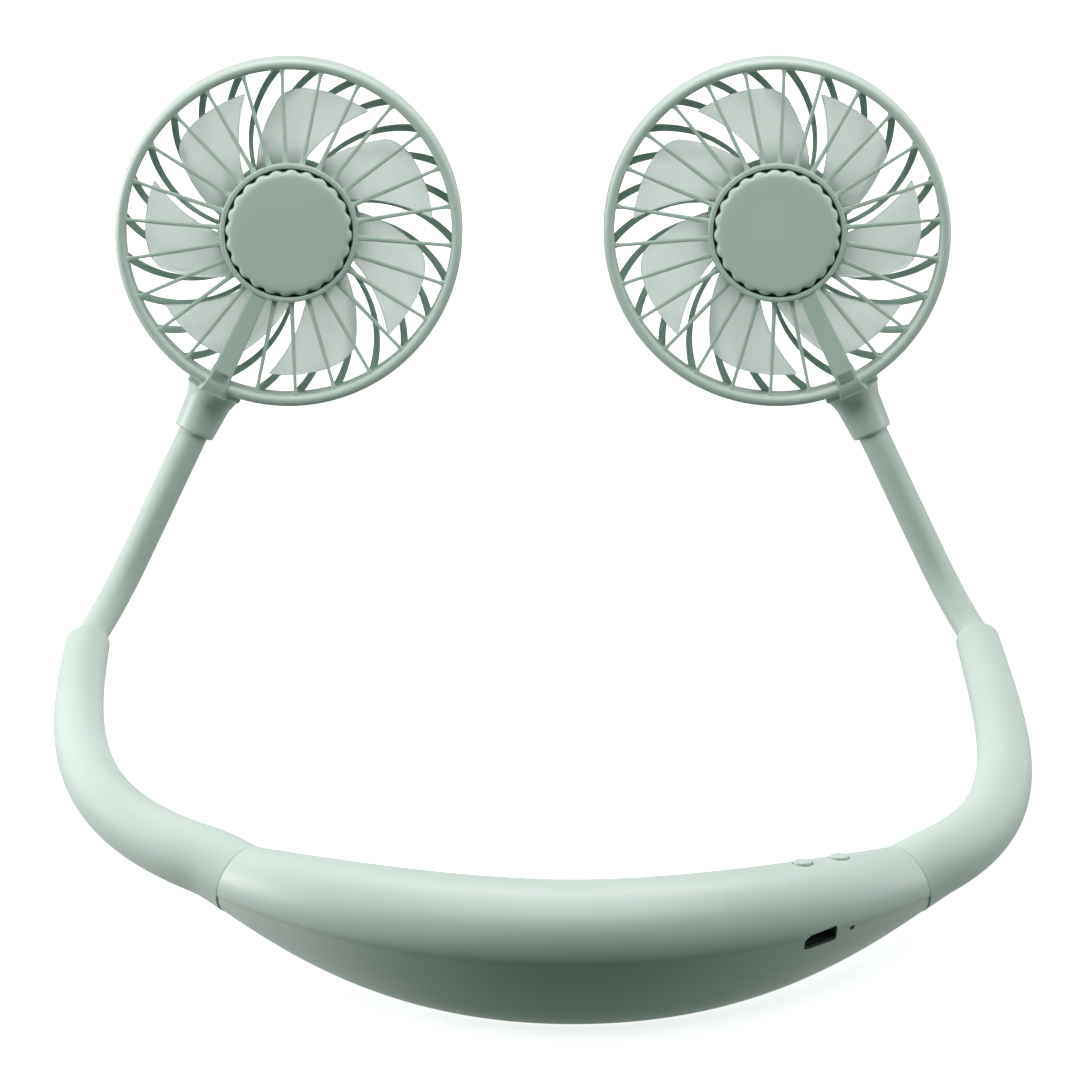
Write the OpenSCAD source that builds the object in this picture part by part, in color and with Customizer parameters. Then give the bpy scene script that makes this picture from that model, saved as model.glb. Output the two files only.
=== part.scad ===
// Neck fan. A curved battery housing lies behind the neck, a silicone tube leaves each
// end of it, and each tube carries a thin flexible arm with a caged fan head.
// Sizes are millimetres, X points right, Y away from the wearer's back, Z up.
// The origin lies in the flat foot under the middle of the housing.

/* [Housing] */
// Radius of the housing's centre line, seen from above
housing_bend_r = 112; // [106:1:118]
// Angle from the middle of the housing to each end
housing_half_angle = 42.5; // [41:0.5:44]
// Half of the housing's width at its middle
housing_mid_half_w = 12.5; // [12:0.1:13.5]
// Radius of the housing's round ends
housing_end_r = 8.4; // [8:0.1:9]
// Height of the housing's top at its middle
housing_top_z = 34; // [33:0.5:36]
// Height of the crease between the shells at the middle
crease_mid_z = 22.6; // [21.6:0.2:23.6]
// Height of the centres of the housing's round ends
housing_end_z = 13; // [12:0.2:14]
// Depth of keel that is cut off flat to make the foot
keel_overcut = 0.8; // [0.5:0.1:1.2]
// Wall thickness of both shells
housing_wall = 1.8; // [1.5:0.1:2]
// Thickness of the wall that closes each end of the shells
housing_end_wall = 2.4; // [2:0.1:3]
// Gap between the two shells along the crease
parting_gap = 0.2; // [0.1:0.05:0.3]
// Width by which the upper shell stands out over the lower one
parting_step = 0.35; // [0.2:0.05:0.5]

/* [Housing screws] */
// Angle of the two inner screws from the middle of the housing
inner_screw_angle = 17; // [16:0.5:18.5]
// Angle of the two outer screws
outer_screw_angle = 37.6; // [37:0.2:38]
// Radius of a screw's thread
screw_r = 1; // [0.9:0.05:1.1]
// Length of a screw's thread
screw_len = 8; // [7:0.5:9]
// Radius of a screw's head
screw_head_r = 1.9; // [1.7:0.1:2]
// Height of a screw's head
screw_head_h = 1.2; // [1:0.1:1.4]
// Wall of a screw well round the head
screw_well_wall = 1.3; // [1.1:0.1:1.5]

/* [Power] */
// Length of the flat battery cell
cell_l = 46; // [42:1:48]
// Thickness of the cell
cell_t = 7.5; // [6.5:0.5:8]
// Height of the cell, which stands on edge
cell_h = 22; // [20:0.5:22.5]
// Distance of the cell's middle towards the neck from the housing's middle
cell_shift = 1.2; // [0.8:0.1:1.6]
// Thickness of the foam pad under the cell
pad_t = 3.5; // [3:0.1:4]
// Width of the foam pad
pad_w = 5; // [4:0.5:6]
// Length of the main board
board_l = 22; // [20:0.5:23]
// Width of the main board
board_w = 14; // [13:0.5:14.5]
// Thickness of both circuit boards
board_t = 1; // [0.8:0.1:1.2]
// Height of the main board's upper face
board_top_z = 16.6; // [16.2:0.1:17]
// Angle of the charging socket from the middle of the housing
socket_angle = 27.3; // [27:0.1:27.8]
// Width of the charging socket's shell
socket_w = 7.5; // [7:0.1:8]
// Height of the charging socket's shell
socket_h = 2.8; // [2.6:0.1:3]
// Length of the charging socket's shell
socket_l = 5.6; // [5:0.1:6]
// Sheet thickness of the charging socket's shell
socket_sheet = 0.3; // [0.25:0.05:0.4]
// Space between the socket's shell and the edge of its cut-out
socket_room = 0.5; // [0.3:0.1:0.7]
// Room over and under the socket in its cut-out
socket_room_h = 0.9; // [0.7:0.1:1]
// Angle of the charge light from the middle of the housing
led_angle = 31.3; // [31:0.1:31.6]
// Radius of the charge light
led_r = 0.6; // [0.5:0.05:0.7]

/* [Buttons] */
// Angle of the point between both buttons
button_angle = 31.4; // [31:0.1:32]
// Turn of the buttons from the outer side over the top to the neck side
button_turn = 112; // [108:1:114]
// Distance between the two buttons
button_pitch = 9.9; // [9.4:0.1:10.4]
// Radius of a button
button_r = 2.2; // [2:0.1:2.4]
// Height by which a button stands out
button_proud = 0.6; // [0.5:0.1:0.9]
// Distance that a button can be pressed
button_travel = 0.4; // [0.3:0.05:0.5]
// Gap round a button in its hole
button_gap = 0.25; // [0.2:0.05:0.35]
// Side of a push switch
switch_side = 4.4; // [4:0.1:4.6]
// Height of a push switch's case
switch_h = 1.5; // [1.3:0.1:1.7]

/* [Neck tubes] */
// Length of the stub between the housing and the first flexing point
root_len = 8.5; // [8:0.5:10]
// Radius of a tube at the flexing point
tube_root_r = 8; // [7.6:0.1:8.4]
// Radius of a tube at its free end
tube_tip_r = 5.1; // [4.9:0.1:5.5]
// Radius of the rounding at a tube's free end
tube_tip_round = 1.2; // [1:0.1:1.4]
// Radius of the core inside a tube
neck_core_r = 3.1; // [2.9:0.05:3.15]
// Sideways place of the middle between the two arms, as the tubes lie
tip_shift = -9.2; // [-10:0.2:-8]
// Distance of the tubes' free ends from the housing's middle
tip_y = 123.4; // [119:0.2:127]
// Height of the tubes' free ends
tip_z = 5.3; // [5.2:0.05:5.6]
// Direction in which the left tube starts, away from straight ahead
left_start_turn = 57.4; // [54:0.2:60]
// Direction in which the right tube starts
right_start_turn = 47.5; // [45:0.5:50]
// Pull of the left tube's start on its curve
left_start_pull = 38; // [35:0.5:41]
// Pull of the right tube's start on its curve
right_start_pull = 31; // [28:0.5:34]
// Direction in which the left tube ends, turned inwards from straight ahead
left_end_turn = 7; // [5:0.5:9]
// Direction in which the right tube ends
right_end_turn = 10; // [8:0.5:12]
// Pull of a tube's free end on its curve
end_pull = 37; // [34:0.5:40]
// Height that a tube loses along its start pull
start_drop = 4; // [3:0.2:5]
// Height that a tube still has above its end along its end pull
end_rise = 0.7; // [0.5:0.1:0.9]

/* [Arms] */
// Radius of an arm
arm_r = 3.5; // [3.3:0.05:3.7]
// Radius of the metal gooseneck inside an arm
arm_core_r = 2.3; // [2.1:0.05:2.35]
// Direction of an arm where it leaves its tube, turned inwards
arm_start_turn = 23.6; // [22:0.2:25]
// Radius of the bend that raises an arm
arm_bend_r = 28; // [26:0.5:30]
// Length of the straight upper part of an arm
arm_straight_len = 31.8; // [30:0.2:34]

/* [Fan head] */
// Tilt of the fan's axis up from level
head_tilt = 37; // [34:0.5:40]
// Turn of the stem away from straight down
stem_turn = 25.3; // [23:0.1:27]
// Radius of the head's rim
rim_r = 40; // [38:0.5:42]
// Room between the rims of the two heads
head_room = 32.4; // [26:0.2:40]
// Radial thickness of the rim
rim_wall = 2.5; // [2.2:0.1:2.8]
// Depth of each guard from the plane where both meet
guard_depth = 12; // [11.6:0.1:13]
// Number of places round a guard, one of them taken by the cable duct
spoke_count = 26; // [22:1:30]
// Width of a spoke
spoke_w = 1.1; // [0.9:0.1:1.3]
// Depth of a spoke
spoke_depth = 1.8; // [1.5:0.1:2]
// Radius of the ring round the motor cap
hub_ring_r = 16; // [15.5:0.1:16.5]
// Thickness of that ring
hub_ring_wall = 1.2; // [1:0.1:1.4]
// Height by which that ring stands over the rim's face
hub_ring_proud = 1; // [0.8:0.1:1.2]
// Depth of the motor's plate under the top of that ring
motor_plate_sink = 4.6; // [4.2:0.1:4.8]
// Thickness of the plate that carries the motor
motor_plate_t = 1.4; // [1.2:0.1:1.6]
// Number of swirl vanes
vane_count = 26; // [22:1:28]
// Thickness of a vane
vane_t = 1.2; // [1:0.1:1.4]
// Depth of a vane
vane_depth = 3.2; // [2.8:0.1:3.4]
// Turn between a vane's inner and outer end, seen from the fan's axis
vane_sweep = 28; // [24:1:32]
// Turn of a vane's inner end away from straight outwards
vane_start_turn = 15; // [10:1:20]
// Radius of the disc in the middle of the vanes
vane_hub_r = 16.5; // [16:0.1:17]
// Thickness of that disc
vane_hub_t = 1.2; // [1:0.1:1.4]
// Width of the cable duct at the hub
duct_hub_w = 3.9; // [3.7:0.1:4.2]
// Width of the cable duct at the rim
duct_rim_w = 5; // [4.6:0.1:5.4]
// Wall of the cable duct
duct_wall = 0.8; // [0.7:0.05:0.9]

/* [Motor] */
// Radius of the motor's can
motor_r = 10.5; // [10:0.1:11]
// Length of the motor's can
motor_len = 10.5; // [10:0.1:11]
// Radius of the motor's shaft
shaft_r = 0.75; // [0.7:0.05:0.9]
// Running clearance of the shaft in its bush
shaft_clearance = 0.05; // [0.02:0.01:0.08]
// Radius of the bronze bush
bush_r = 2.4; // [2.2:0.1:2.6]
// Length of the bush, half of it outside the can
bush_len = 3; // [2.6:0.1:3.4]
// Radius of the motor's lead
lead_r = 0.8; // [0.7:0.05:0.85]
// Gap between the crests of the motor cap's edge and the ring round it
cap_gap = 0.2; // [0.15:0.05:0.5]
// Number of crests round the motor cap
cap_crest_count = 24; // [20:1:28]
// Height of a crest over the hollow beside it
cap_crest_h = 0.8; // [0.6:0.05:1]
// Height by which the cap stands over the hub ring
cap_proud = 1; // [0.8:0.1:1.2]
// Wall of the motor cap
cap_wall = 1.2; // [1:0.1:1.4]

/* [Impeller] */
// Number of blades
blade_count = 7; // [5:1:8]
// Gap between the blades' tips and the inside of the rims
blade_rim_gap = 4.2; // [3.5:0.1:6.5]
// Radius of the impeller's hub
impeller_hub_r = 14; // [13.8:0.1:14.3]
// Wall of the hub
impeller_hub_wall = 1.6; // [1.4:0.1:1.8]
// Thickness of a blade
blade_t = 1; // [0.8:0.1:1.2]
// Height of a blade along the axis at its root
blade_root_rise = 12; // [11:0.2:12.4]
// Height of a blade along the axis at its tip
blade_tip_rise = 9.6; // [9:0.2:10]
// Turn of a blade's tip ahead of its root
blade_lead = 31; // [24:1:34]
// Turn at which the blades rest, from the cable duct
blade_rest_turn = 16; // [0:1:50]
// Angle that a blade spans at its root
blade_root_span = 40; // [36:1:42]
// Angle that a blade spans at its tip
blade_tip_span = 38; // [34:1:42]

/* [Swivel] */
// Length of the stem socket from the rim to the arm
stem_len = 11.5; // [11:0.1:12.5]
// Radius of the stem socket beside the rim
stem_r = 5; // [4.8:0.1:5.3]
// Radius of the stem socket beside the arm
stem_end_r = 4.4; // [4.2:0.1:4.6]
// Thickness of the saddle that hugs the rim
saddle_t = 1.4; // [1.2:0.1:1.6]
// Angle that the saddle spans round the rim
saddle_span = 18.5; // [17:0.5:21]
// Width of the saddle across the rim
saddle_w = 13; // [12:0.5:14]
// Radius of the swivel pin
pin_r = 2; // [1.9:0.05:2.1]
// Running clearance of the swivel pin in its socket
pin_clearance = 0.05; // [0.02:0.01:0.08]
// Thickness of the clip that holds the pin
clip_t = 0.5; // [0.4:0.05:0.6]
// Outer radius of that clip
clip_r = 3.1; // [3:0.05:3.2]
// Radius of the cable way along the pin
pin_bore_r = 1.1; // [1:0.05:1.2]

/* [Hidden] */
$fn = 64;
left = -1;
right = 1;

// Colours of the moulded parts
light_mint = "#cfe0d8";
mid_mint = "#9bb3a6";
deep_mint = "#5d7b6b";
cap_green = "#8da497";
blade_grey = "#cfd4d0";
steel_grey = "#b5b8b8";
board_green = "#2f6b4a";
port_black = "#161d18";

// How far a cut runs past the face that it opens
overrun = 1;
// Gap between pieces that rest on each other without touching
seat_gap = 0.1;
// Gap between the parts of a flexing point
flex_gap = 0.3;

// How the housing swells: its half width, top and keel follow one power of the angle
belly_share = 2.4;
// Half of the keel's outline at the middle, as shares of half width and depth
keel_shares = [
    [1, 0], [0.965, 0.14], [0.915, 0.3], [0.85, 0.46], [0.77, 0.62],
    [0.68, 0.78], [0.57, 0.91], [0.44, 0.98], [0, 1]
];
// Steps over the upper shell's outline and stations along the housing
upper_steps = 14;
housing_stations = 22;
// Sides and rings of a swept tube
tube_sides = 18;
tube_rings = 16;
core_sides = 10;

function mix(a, b, share) = a + (b - a) * share;
function unit(v) = v / norm(v);
function reversed(list) = [for (i = [len(list) - 1:-1:0]) list[i]];
function frame(at, x, y, z) = [
    [x[0], y[0], z[0], at[0]],
    [x[1], y[1], z[1], at[1]],
    [x[2], y[2], z[2], at[2]],
    [0, 0, 0, 1]
];

// The housing's outline at an angle, where t runs from -1 at one end to 1 at the other
function belly(t) = 1 - pow(abs(t), belly_share);
function half_w(t) = mix(housing_end_r, housing_mid_half_w, belly(t));
function crease_z(t) = mix(housing_end_z, crease_mid_z, belly(t));
function top_z(t) = mix(housing_end_z + housing_end_r, housing_top_z, belly(t));
function keel_z(t) = mix(housing_end_z - housing_end_r, -keel_overcut, belly(t));
function share_of(angle) = angle / housing_half_angle;

// A point beside the centre line: out is measured away from the neck
function on_arc(angle, out, z) = [
    (housing_bend_r + out) * sin(angle),
    housing_bend_r - (housing_bend_r + out) * cos(angle),
    z
];
function along_arc(angle) = [cos(angle), sin(angle), 0];

// The upper outline runs from the outer side over the top to the neck side
function upper_outline(t) = [
    for (i = [0:upper_steps])
        let (turn = 180 * i / upper_steps)
        [half_w(t) * cos(turn), crease_z(t) + (top_z(t) - crease_z(t)) * sin(turn)]
];
function upper_bore(t) = [
    for (i = [0:upper_steps])
        let (turn = 180 * i / upper_steps)
        [root_bore_r * cos(turn), max(crease_z(t), housing_end_z + root_bore_r * sin(turn))]
];

// The lower outline runs from the neck side under the keel to the outer side
keel_steps = len(keel_shares) - 1;
function keel_share(i, t) =
    let (turn = 90 * i / keel_steps)
    mix([cos(turn), sin(turn)], keel_shares[i], belly(t));
function keel_point(i, t, side) =
    let (share = keel_share(i, t))
    [
        side * share[0] * (half_w(t) - parting_step),
        crease_z(t) - parting_gap - share[1] * (crease_z(t) - parting_gap - keel_z(t))
    ];
function lower_outline(t) = concat(
    [for (i = [0:keel_steps]) keel_point(i, t, -1)],
    [for (i = [keel_steps - 1:-1:0]) keel_point(i, t, 1)]
);
function lower_bore(t) = [
    for (i = [0:2 * keel_steps])
        let (turn = 180 + 180 * i / (2 * keel_steps))
        let (z = i == 0 || i == 2 * keel_steps ? crease_z(t) : housing_end_z + root_bore_r * sin(turn))
        [root_bore_r * cos(turn), z - parting_gap]
];

// An outline moved inwards by a wall, with its two ends kept at the crease
function inset(outline, depth) = [
    for (i = [0:len(outline) - 1])
        let (
            last = len(outline) - 1,
            run = outline[min(i + 1, last)] - outline[max(i - 1, 0)],
            inwards = [-run[1], run[0]] / norm(run)
        )
        i == 0 || i == last
            ? [outline[i][0] - sign(outline[i][0]) * depth, outline[i][1]]
            : outline[i] + depth * inwards
];

// Triangles between rows of points, where each row is a closed loop
function loop_quad(a, b, c, d) = [[a, b, c], [a, c, d]];
function flat_list(lists) = [for (list = lists) for (item = list) item];
function skin_faces(rows, size) = flat_list([
    for (row = [0:rows - 2]) for (i = [0:size - 1])
        let (j = (i + 1) % size)
        loop_quad(row * size + i, row * size + j, (row + 1) * size + j, (row + 1) * size + i)
]);

// A shell whose section is a strip between an outer and an inner outline
module strip_loft(outer_rows, inner_rows) {
    rows = len(outer_rows);
    width = len(outer_rows[0]);
    size = 2 * width;
    points = flat_list([for (r = [0:rows - 1]) concat(outer_rows[r], reversed(inner_rows[r]))]);
    last = (rows - 1) * size;
    start_cap = flat_list([
        for (i = [0:width - 2]) loop_quad(i, size - 1 - i, size - 2 - i, i + 1)
    ]);
    end_cap = flat_list([
        for (i = [0:width - 2]) loop_quad(last + i, last + i + 1, last + size - 2 - i, last + size - 1 - i)
    ]);
    polyhedron(points, concat(skin_faces(rows, size), start_cap, end_cap));
}

// Angles of the sections: two at each end wall, the rest spread between them
end_wall_angle = housing_end_wall / housing_bend_r * 180 / PI;
cavity_half_angle = housing_half_angle - 1.2 * end_wall_angle;
section_angles = concat(
    [-housing_half_angle, -housing_half_angle + end_wall_angle],
    [for (i = [0:housing_stations]) cavity_half_angle * (2 * i / housing_stations - 1)],
    [housing_half_angle - end_wall_angle, housing_half_angle]
);
function is_end_wall(angle) = abs(angle) > cavity_half_angle + 0.05 * end_wall_angle;
function placed_row(angle, outline) = [for (p = outline) on_arc(angle, p[0], p[1])];

// The stub's bore, and the radius of the core that fills it
root_core_r = neck_core_r + 2 * duct_wall;
root_bore_r = root_core_r + flex_gap;

// Screw wells
screw_angles = [-outer_screw_angle, -inner_screw_angle, inner_screw_angle, outer_screw_angle];
well_r = screw_head_r + seat_gap + screw_well_wall;
function boss_split_z(angle) = crease_z(share_of(angle)) - parting_gap;
function head_seat_z(angle) = boss_split_z(angle) - screw_len / 2;

// Place of the main board, the socket and the light
board_bottom_z = board_top_z - board_t;
socket_z = board_top_z + socket_h / 2;
socket_out = half_w(share_of(socket_angle)) - parting_step - housing_wall;
led_z = board_top_z + led_r + seat_gap;
board_peg_r = 0.8 * screw_r;
board_peg_out = board_w / 2 - 2 * screw_head_r;

// Place of the buttons: a plane that touches the upper shell between them
function shell_point(angle, turn) =
    let (t = share_of(angle))
    on_arc(angle, half_w(t) * cos(turn), crease_z(t) + (top_z(t) - crease_z(t)) * sin(turn));
button_at = shell_point(button_angle, button_turn);
button_along = unit(shell_point(button_angle + 1, button_turn) - shell_point(button_angle - 1, button_turn));
button_round = shell_point(button_angle, button_turn + 1) - shell_point(button_angle, button_turn - 1);
button_up = unit(cross(button_along, button_round));
button_back = cross(button_up, button_along);
flange_top = -housing_wall - button_travel - button_travel;
flange_h = button_proud;
plunger_top = flange_top - flange_h - button_travel - button_gap / 5;
plunger_h = button_travel + button_gap;
switch_top = plunger_top - plunger_h;
button_board_top = switch_top - switch_h;
flange_r = button_r + 2 * button_gap;
button_post_r = button_r / 2;
button_post_at = button_pitch / 2 + flange_r + flex_gap + button_post_r;
button_board_l = 2 * (button_post_at + button_post_r);
button_board_w = switch_side + housing_wall;

// Route of a neck tube: one cubic curve from the flexing point to the free end
function seam_at(side) = on_arc(side * housing_half_angle, 0, housing_end_z);
function seam_out(side) = side * along_arc(side * housing_half_angle);
function flex_at(side) = seam_at(side) + root_len * seam_out(side);
function tip_at(side) = [tip_shift + side * tip_span / 2, tip_y, tip_z];
tip_seat = tube_tip_r - neck_core_r + seat_gap;
function end_turn(side) = side < 0 ? left_end_turn : right_end_turn;
function start_turn(side) = side < 0 ? left_start_turn : right_start_turn;
function start_pull(side) = side < 0 ? left_start_pull : right_start_pull;
function end_dir(side) = [-side * sin(end_turn(side)), cos(end_turn(side)), 0];
function start_dir(side) = [side * sin(start_turn(side)), cos(start_turn(side)), 0];
function tube_end(side) = tip_at(side) - tip_seat * end_dir(side);
function tube_controls(side) = [
    flex_at(side),
    flex_at(side) + start_pull(side) * start_dir(side) - [0, 0, start_drop],
    tube_end(side) - end_pull * end_dir(side) + [0, 0, end_rise],
    tube_end(side)
];
function on_curve(c, t) =
    pow(1 - t, 3) * c[0] + 3 * pow(1 - t, 2) * t * c[1] + 3 * (1 - t) * t * t * c[2] + pow(t, 3) * c[3];
function curve_dir(c, t) =
    unit(pow(1 - t, 2) * (c[1] - c[0]) + 2 * (1 - t) * t * (c[2] - c[1]) + t * t * (c[3] - c[2]));

function ring(at, dir, r, sides) =
    let (across = unit(cross(dir, [0, 0, 1])), up = cross(across, dir))
    [for (i = [0:sides - 1]) at + r * (cos(360 * i / sides) * across + sin(360 * i / sides) * up)];

// The last rings close in to round the tube's free end
tip_round_share = tube_tip_round / (3 * end_pull);
round_turns = [0, 30, 55, 75, 90];
tube_stations = concat(
    [for (i = [0:tube_rings - 1]) (1 - tip_round_share) * i / tube_rings],
    [for (turn = round_turns) 1 - tip_round_share * (1 - sin(turn))]
);
function tube_r(t) =
    let (into = max(0, (t - 1 + tip_round_share) / tip_round_share))
    mix(tube_root_r, tube_tip_r, t) - tube_tip_round * (1 - sqrt(max(0, 1 - into * into)));
neck_bore_r = neck_core_r + seat_gap;

module solid_sweep(rows, sides) {
    count = len(rows);
    last = (count - 1) * sides;
    start_cap = [[for (i = [sides - 1:-1:0]) i]];
    end_cap = [[for (i = [0:sides - 1]) last + i]];
    polyhedron(flat_list(rows), concat(skin_faces(count, sides), start_cap, end_cap));
}

module hollow_sweep(outer_rows, inner_rows, sides) {
    count = len(outer_rows);
    inner_start = count * sides;
    last = (count - 1) * sides;
    inner_skin = [for (face = skin_faces(count, sides)) [for (i = [2:-1:0]) face[i] + inner_start]];
    start_cap = flat_list([
        for (i = [0:sides - 1])
            let (j = (i + 1) % sides)
            loop_quad(i, inner_start + i, inner_start + j, j)
    ]);
    end_cap = flat_list([
        for (i = [0:sides - 1])
            let (j = (i + 1) % sides)
            loop_quad(last + i, last + j, inner_start + last + j, inner_start + last + i)
    ]);
    polyhedron(
        concat(flat_list(outer_rows), flat_list(inner_rows)),
        concat(skin_faces(count, sides), inner_skin, start_cap, end_cap)
    );
}

// Route of the left arm. The right arm and head mirror it.
arm_dir = [sin(arm_start_turn), cos(arm_start_turn), 0];
stem_up = [sin(stem_turn), cos(stem_turn) * sin(head_tilt), cos(stem_turn) * cos(head_tilt)];
arm_bend = acos(arm_dir * stem_up);
arm_rise = unit(stem_up - (stem_up * arm_dir) * arm_dir);
stem_end = rim_r + stem_len;
pin_flange_t = 4 * seat_gap;
sleeve_end = stem_end + pin_flange_t;
knee_far = sleeve_end + arm_straight_len;
bend_reach = arm_bend_r * (sin(arm_bend) * arm_dir + (1 - cos(arm_bend)) * arm_rise);
head_reach = bend_reach + knee_far * stem_up;
// Distance between the arms where they leave the tubes, which sets the heads apart
tip_span = head_room + 2 * (rim_r + head_reach[0]);
arm_knee = tip_at(left) + bend_reach;
head_at = tip_at(left) + head_reach;
arm_bore_r = arm_core_r + seat_gap;
ball_share = 1.06;
ball_r = ball_share * arm_r;
ball_angle = (ball_r + seat_gap) / arm_bend_r * 180 / PI;

// Levels of the head along its axis, counted from the plane where the guards meet
spoke_top = guard_depth - rim_wall / 4;
hub_ring_top = guard_depth + hub_ring_proud;
plate_top = hub_ring_top - motor_plate_sink;
plate_bottom = plate_top - motor_plate_t;
motor_bottom = plate_bottom - motor_len;
impeller_top = plate_bottom - 0.4 * rim_wall;
impeller_bottom = motor_bottom - bush_len / 2 - 2 * impeller_hub_wall;
bush_bottom = motor_bottom - bush_len / 2;
cap_top = hub_ring_top + cap_proud;
cap_r = hub_ring_r - hub_ring_wall - cap_gap;
rim_inner_r = rim_r - rim_wall;
blade_tip_r = rim_inner_r - blade_rim_gap;
rim_lip = rim_wall / 2;
duct_top = hub_ring_top - rim_wall / 5;
lead_z = plate_top + lead_r + seat_gap;
duct_bottom = lead_z - lead_r - seat_gap - duct_wall;
duct_way = 2 * (lead_r + seat_gap);
motor_screw_r = 0.8 * screw_r;
motor_screw_far = 0.75 * motor_r;
plate_window_r = motor_screw_far - 2 * screw_head_r + motor_screw_r;
lead_end_far = plate_window_r / 2;

// Pieces of the left arm and head, or their mirror images
module on_side(side) {
    if (side < 0) {
        children();
    } else {
        translate([2 * tip_shift, 0, 0]) mirror([1, 0, 0]) children();
    }
}
module at_head(side) {
    on_side(side) translate(head_at) rotate([90 - head_tilt, 0, 0]) children();
}
// Z points from the fan's middle along the stem to the arm
module at_stem(side) {
    at_head(side) rotate([0, 0, -stem_turn]) rotate([90, 0, 0]) children();
}
// X points from the fan's middle along the stem to the arm, Z along the fan's axis
module at_duct(side) {
    at_head(side) rotate([0, 0, -90 - stem_turn]) children();
}
module round_tube(z0, z1, outer_r, inner_r) {
    translate([0, 0, z0]) difference() {
        cylinder(h = z1 - z0, r = outer_r);
        translate([0, 0, -overrun]) cylinder(h = z1 - z0 + 2 * overrun, r = inner_r);
    }
}
module rod(z0, z1, r) {
    translate([0, 0, z0]) cylinder(h = z1 - z0, r = r);
}
// A box that stands on the housing's centre line, with X along it and Y towards the neck
module at_angle(angle) {
    translate(on_arc(angle, 0, 0)) rotate([0, 0, angle]) children();
}
module at_button() {
    multmatrix(frame(button_at, button_along, button_back, button_up)) children();
}
module at_seam(side) {
    out = seam_out(side);
    translate(seam_at(side)) rotate([0, 90, atan2(out[1], out[0])]) children();
}
module middle_box(size, at) {
    translate(at) cube(size, center = true);
}

// Openings that both shells share: the charging socket's cut-out and the light's hole
module wall_openings() {
    cut_w = socket_w + 2 * socket_room;
    cut_h = socket_h + 2 * socket_room_h;
    corner = cut_h / 4;
    at_angle(socket_angle) translate([0, -socket_out + housing_wall, socket_z]) rotate([90, 0, 0])
        linear_extrude(height = 2 * socket_l, center = true) polygon([
            [-cut_w / 2, -cut_h / 2],
            [cut_w / 2, -cut_h / 2],
            [cut_w / 2, cut_h / 2],
            [corner - cut_w / 2, cut_h / 2],
            [-cut_w / 2, cut_h / 2 - corner]
        ]);
    at_angle(led_angle) translate([0, -board_w / 2, led_z]) rotate([90, 0, 0])
        cylinder(h = board_w / 2, r = led_r + seat_gap);
}

module housing_upper_shell() {
    color(light_mint) difference() {
        union() {
            strip_loft(
                [for (a = section_angles) placed_row(a, upper_outline(share_of(a)))],
                [for (a = section_angles)
                    let (t = share_of(a))
                    placed_row(a, is_end_wall(a) ? upper_bore(t) : inset(upper_outline(t), housing_wall))]
            );
            for (a = screw_angles) at_angle(a)
                rod(
                    crease_z(share_of(a)),
                    top_z(share_of(a)) - 0.7 * housing_wall,
                    well_r - screw_well_wall / 2
                );
            at_button() for (x = [-button_post_at, 0, button_post_at]) translate([x, 0, 0])
                rod(button_board_top, -0.65 * housing_wall, button_post_r);
        }
        for (a = screw_angles) at_angle(a)
            rod(head_seat_z(a) - overrun, head_seat_z(a) + screw_len + seat_gap, screw_r + seat_gap / 2);
        at_button() for (x = [-button_pitch / 2, button_pitch / 2]) translate([x, 0, 0])
            rod(flange_top, button_proud + overrun, button_r + button_gap);
        wall_openings();
    }
}

module housing_lower_shell() {
    color(light_mint) difference() {
        union() {
            strip_loft(
                [for (a = section_angles) placed_row(a, lower_outline(share_of(a)))],
                [for (a = section_angles)
                    let (t = share_of(a))
                    placed_row(a, is_end_wall(a) ? lower_bore(t) : inset(lower_outline(t), housing_wall))]
            );
            for (a = screw_angles) at_angle(a)
                rod(keel_z(share_of(a)) + 0.7 * housing_wall, boss_split_z(a), well_r);
            for (x = [-board_l / 3, board_l / 3]) at_angle(socket_angle) translate([x, board_peg_out, 0]) {
                peg_share = share_of(socket_angle + atan(x / housing_bend_r));
                rod(keel_z(peg_share) + 0.6 * housing_wall, board_bottom_z, 2 * board_peg_r);
                rod(board_bottom_z - board_t, board_top_z + board_t / 2, board_peg_r);
            }
        }
        for (a = screw_angles) at_angle(a) {
            rod(-keel_overcut - overrun, head_seat_z(a), screw_head_r + seat_gap);
            rod(head_seat_z(a) - overrun, boss_split_z(a) + overrun, screw_r + seat_gap);
        }
        wall_openings();
        // The foot: everything below the origin's plane is cut away
        middle_box(
            [2 * housing_bend_r, 2 * housing_bend_r, 2 * keel_overcut],
            [0, 0, -keel_overcut]
        );
    }
}

module housing_screws() {
    color(steel_grey) for (a = screw_angles) at_angle(a) difference() {
        union() {
            rod(head_seat_z(a) - screw_head_h, head_seat_z(a), screw_head_r);
            rod(head_seat_z(a), head_seat_z(a) + screw_len, screw_r);
        }
        middle_box(
            [2 * screw_r, screw_r / 2, screw_head_h],
            [0, 0, head_seat_z(a) - screw_head_h]
        );
        middle_box(
            [screw_r / 2, 2 * screw_r, screw_head_h],
            [0, 0, head_seat_z(a) - screw_head_h]
        );
    }
}

pad_bottom_z = housing_wall - keel_overcut + flex_gap;
module battery_pad() {
    color("#4a4f4c") middle_box(
        [0.7 * cell_l, pad_w, pad_t],
        [0, cell_shift, pad_bottom_z + pad_t / 2]
    );
}
module battery_cell() {
    tab = pad_w / 2;
    color(steel_grey) union() {
        middle_box([cell_l, cell_t, cell_h], [0, cell_shift, pad_bottom_z + pad_t + cell_h / 2]);
        for (x = [-tab, tab]) middle_box(
            [tab, cell_t / 3, 2 * board_t],
            [cell_l / 4 + x, cell_shift, pad_bottom_z + pad_t + cell_h]
        );
    }
}

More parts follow.
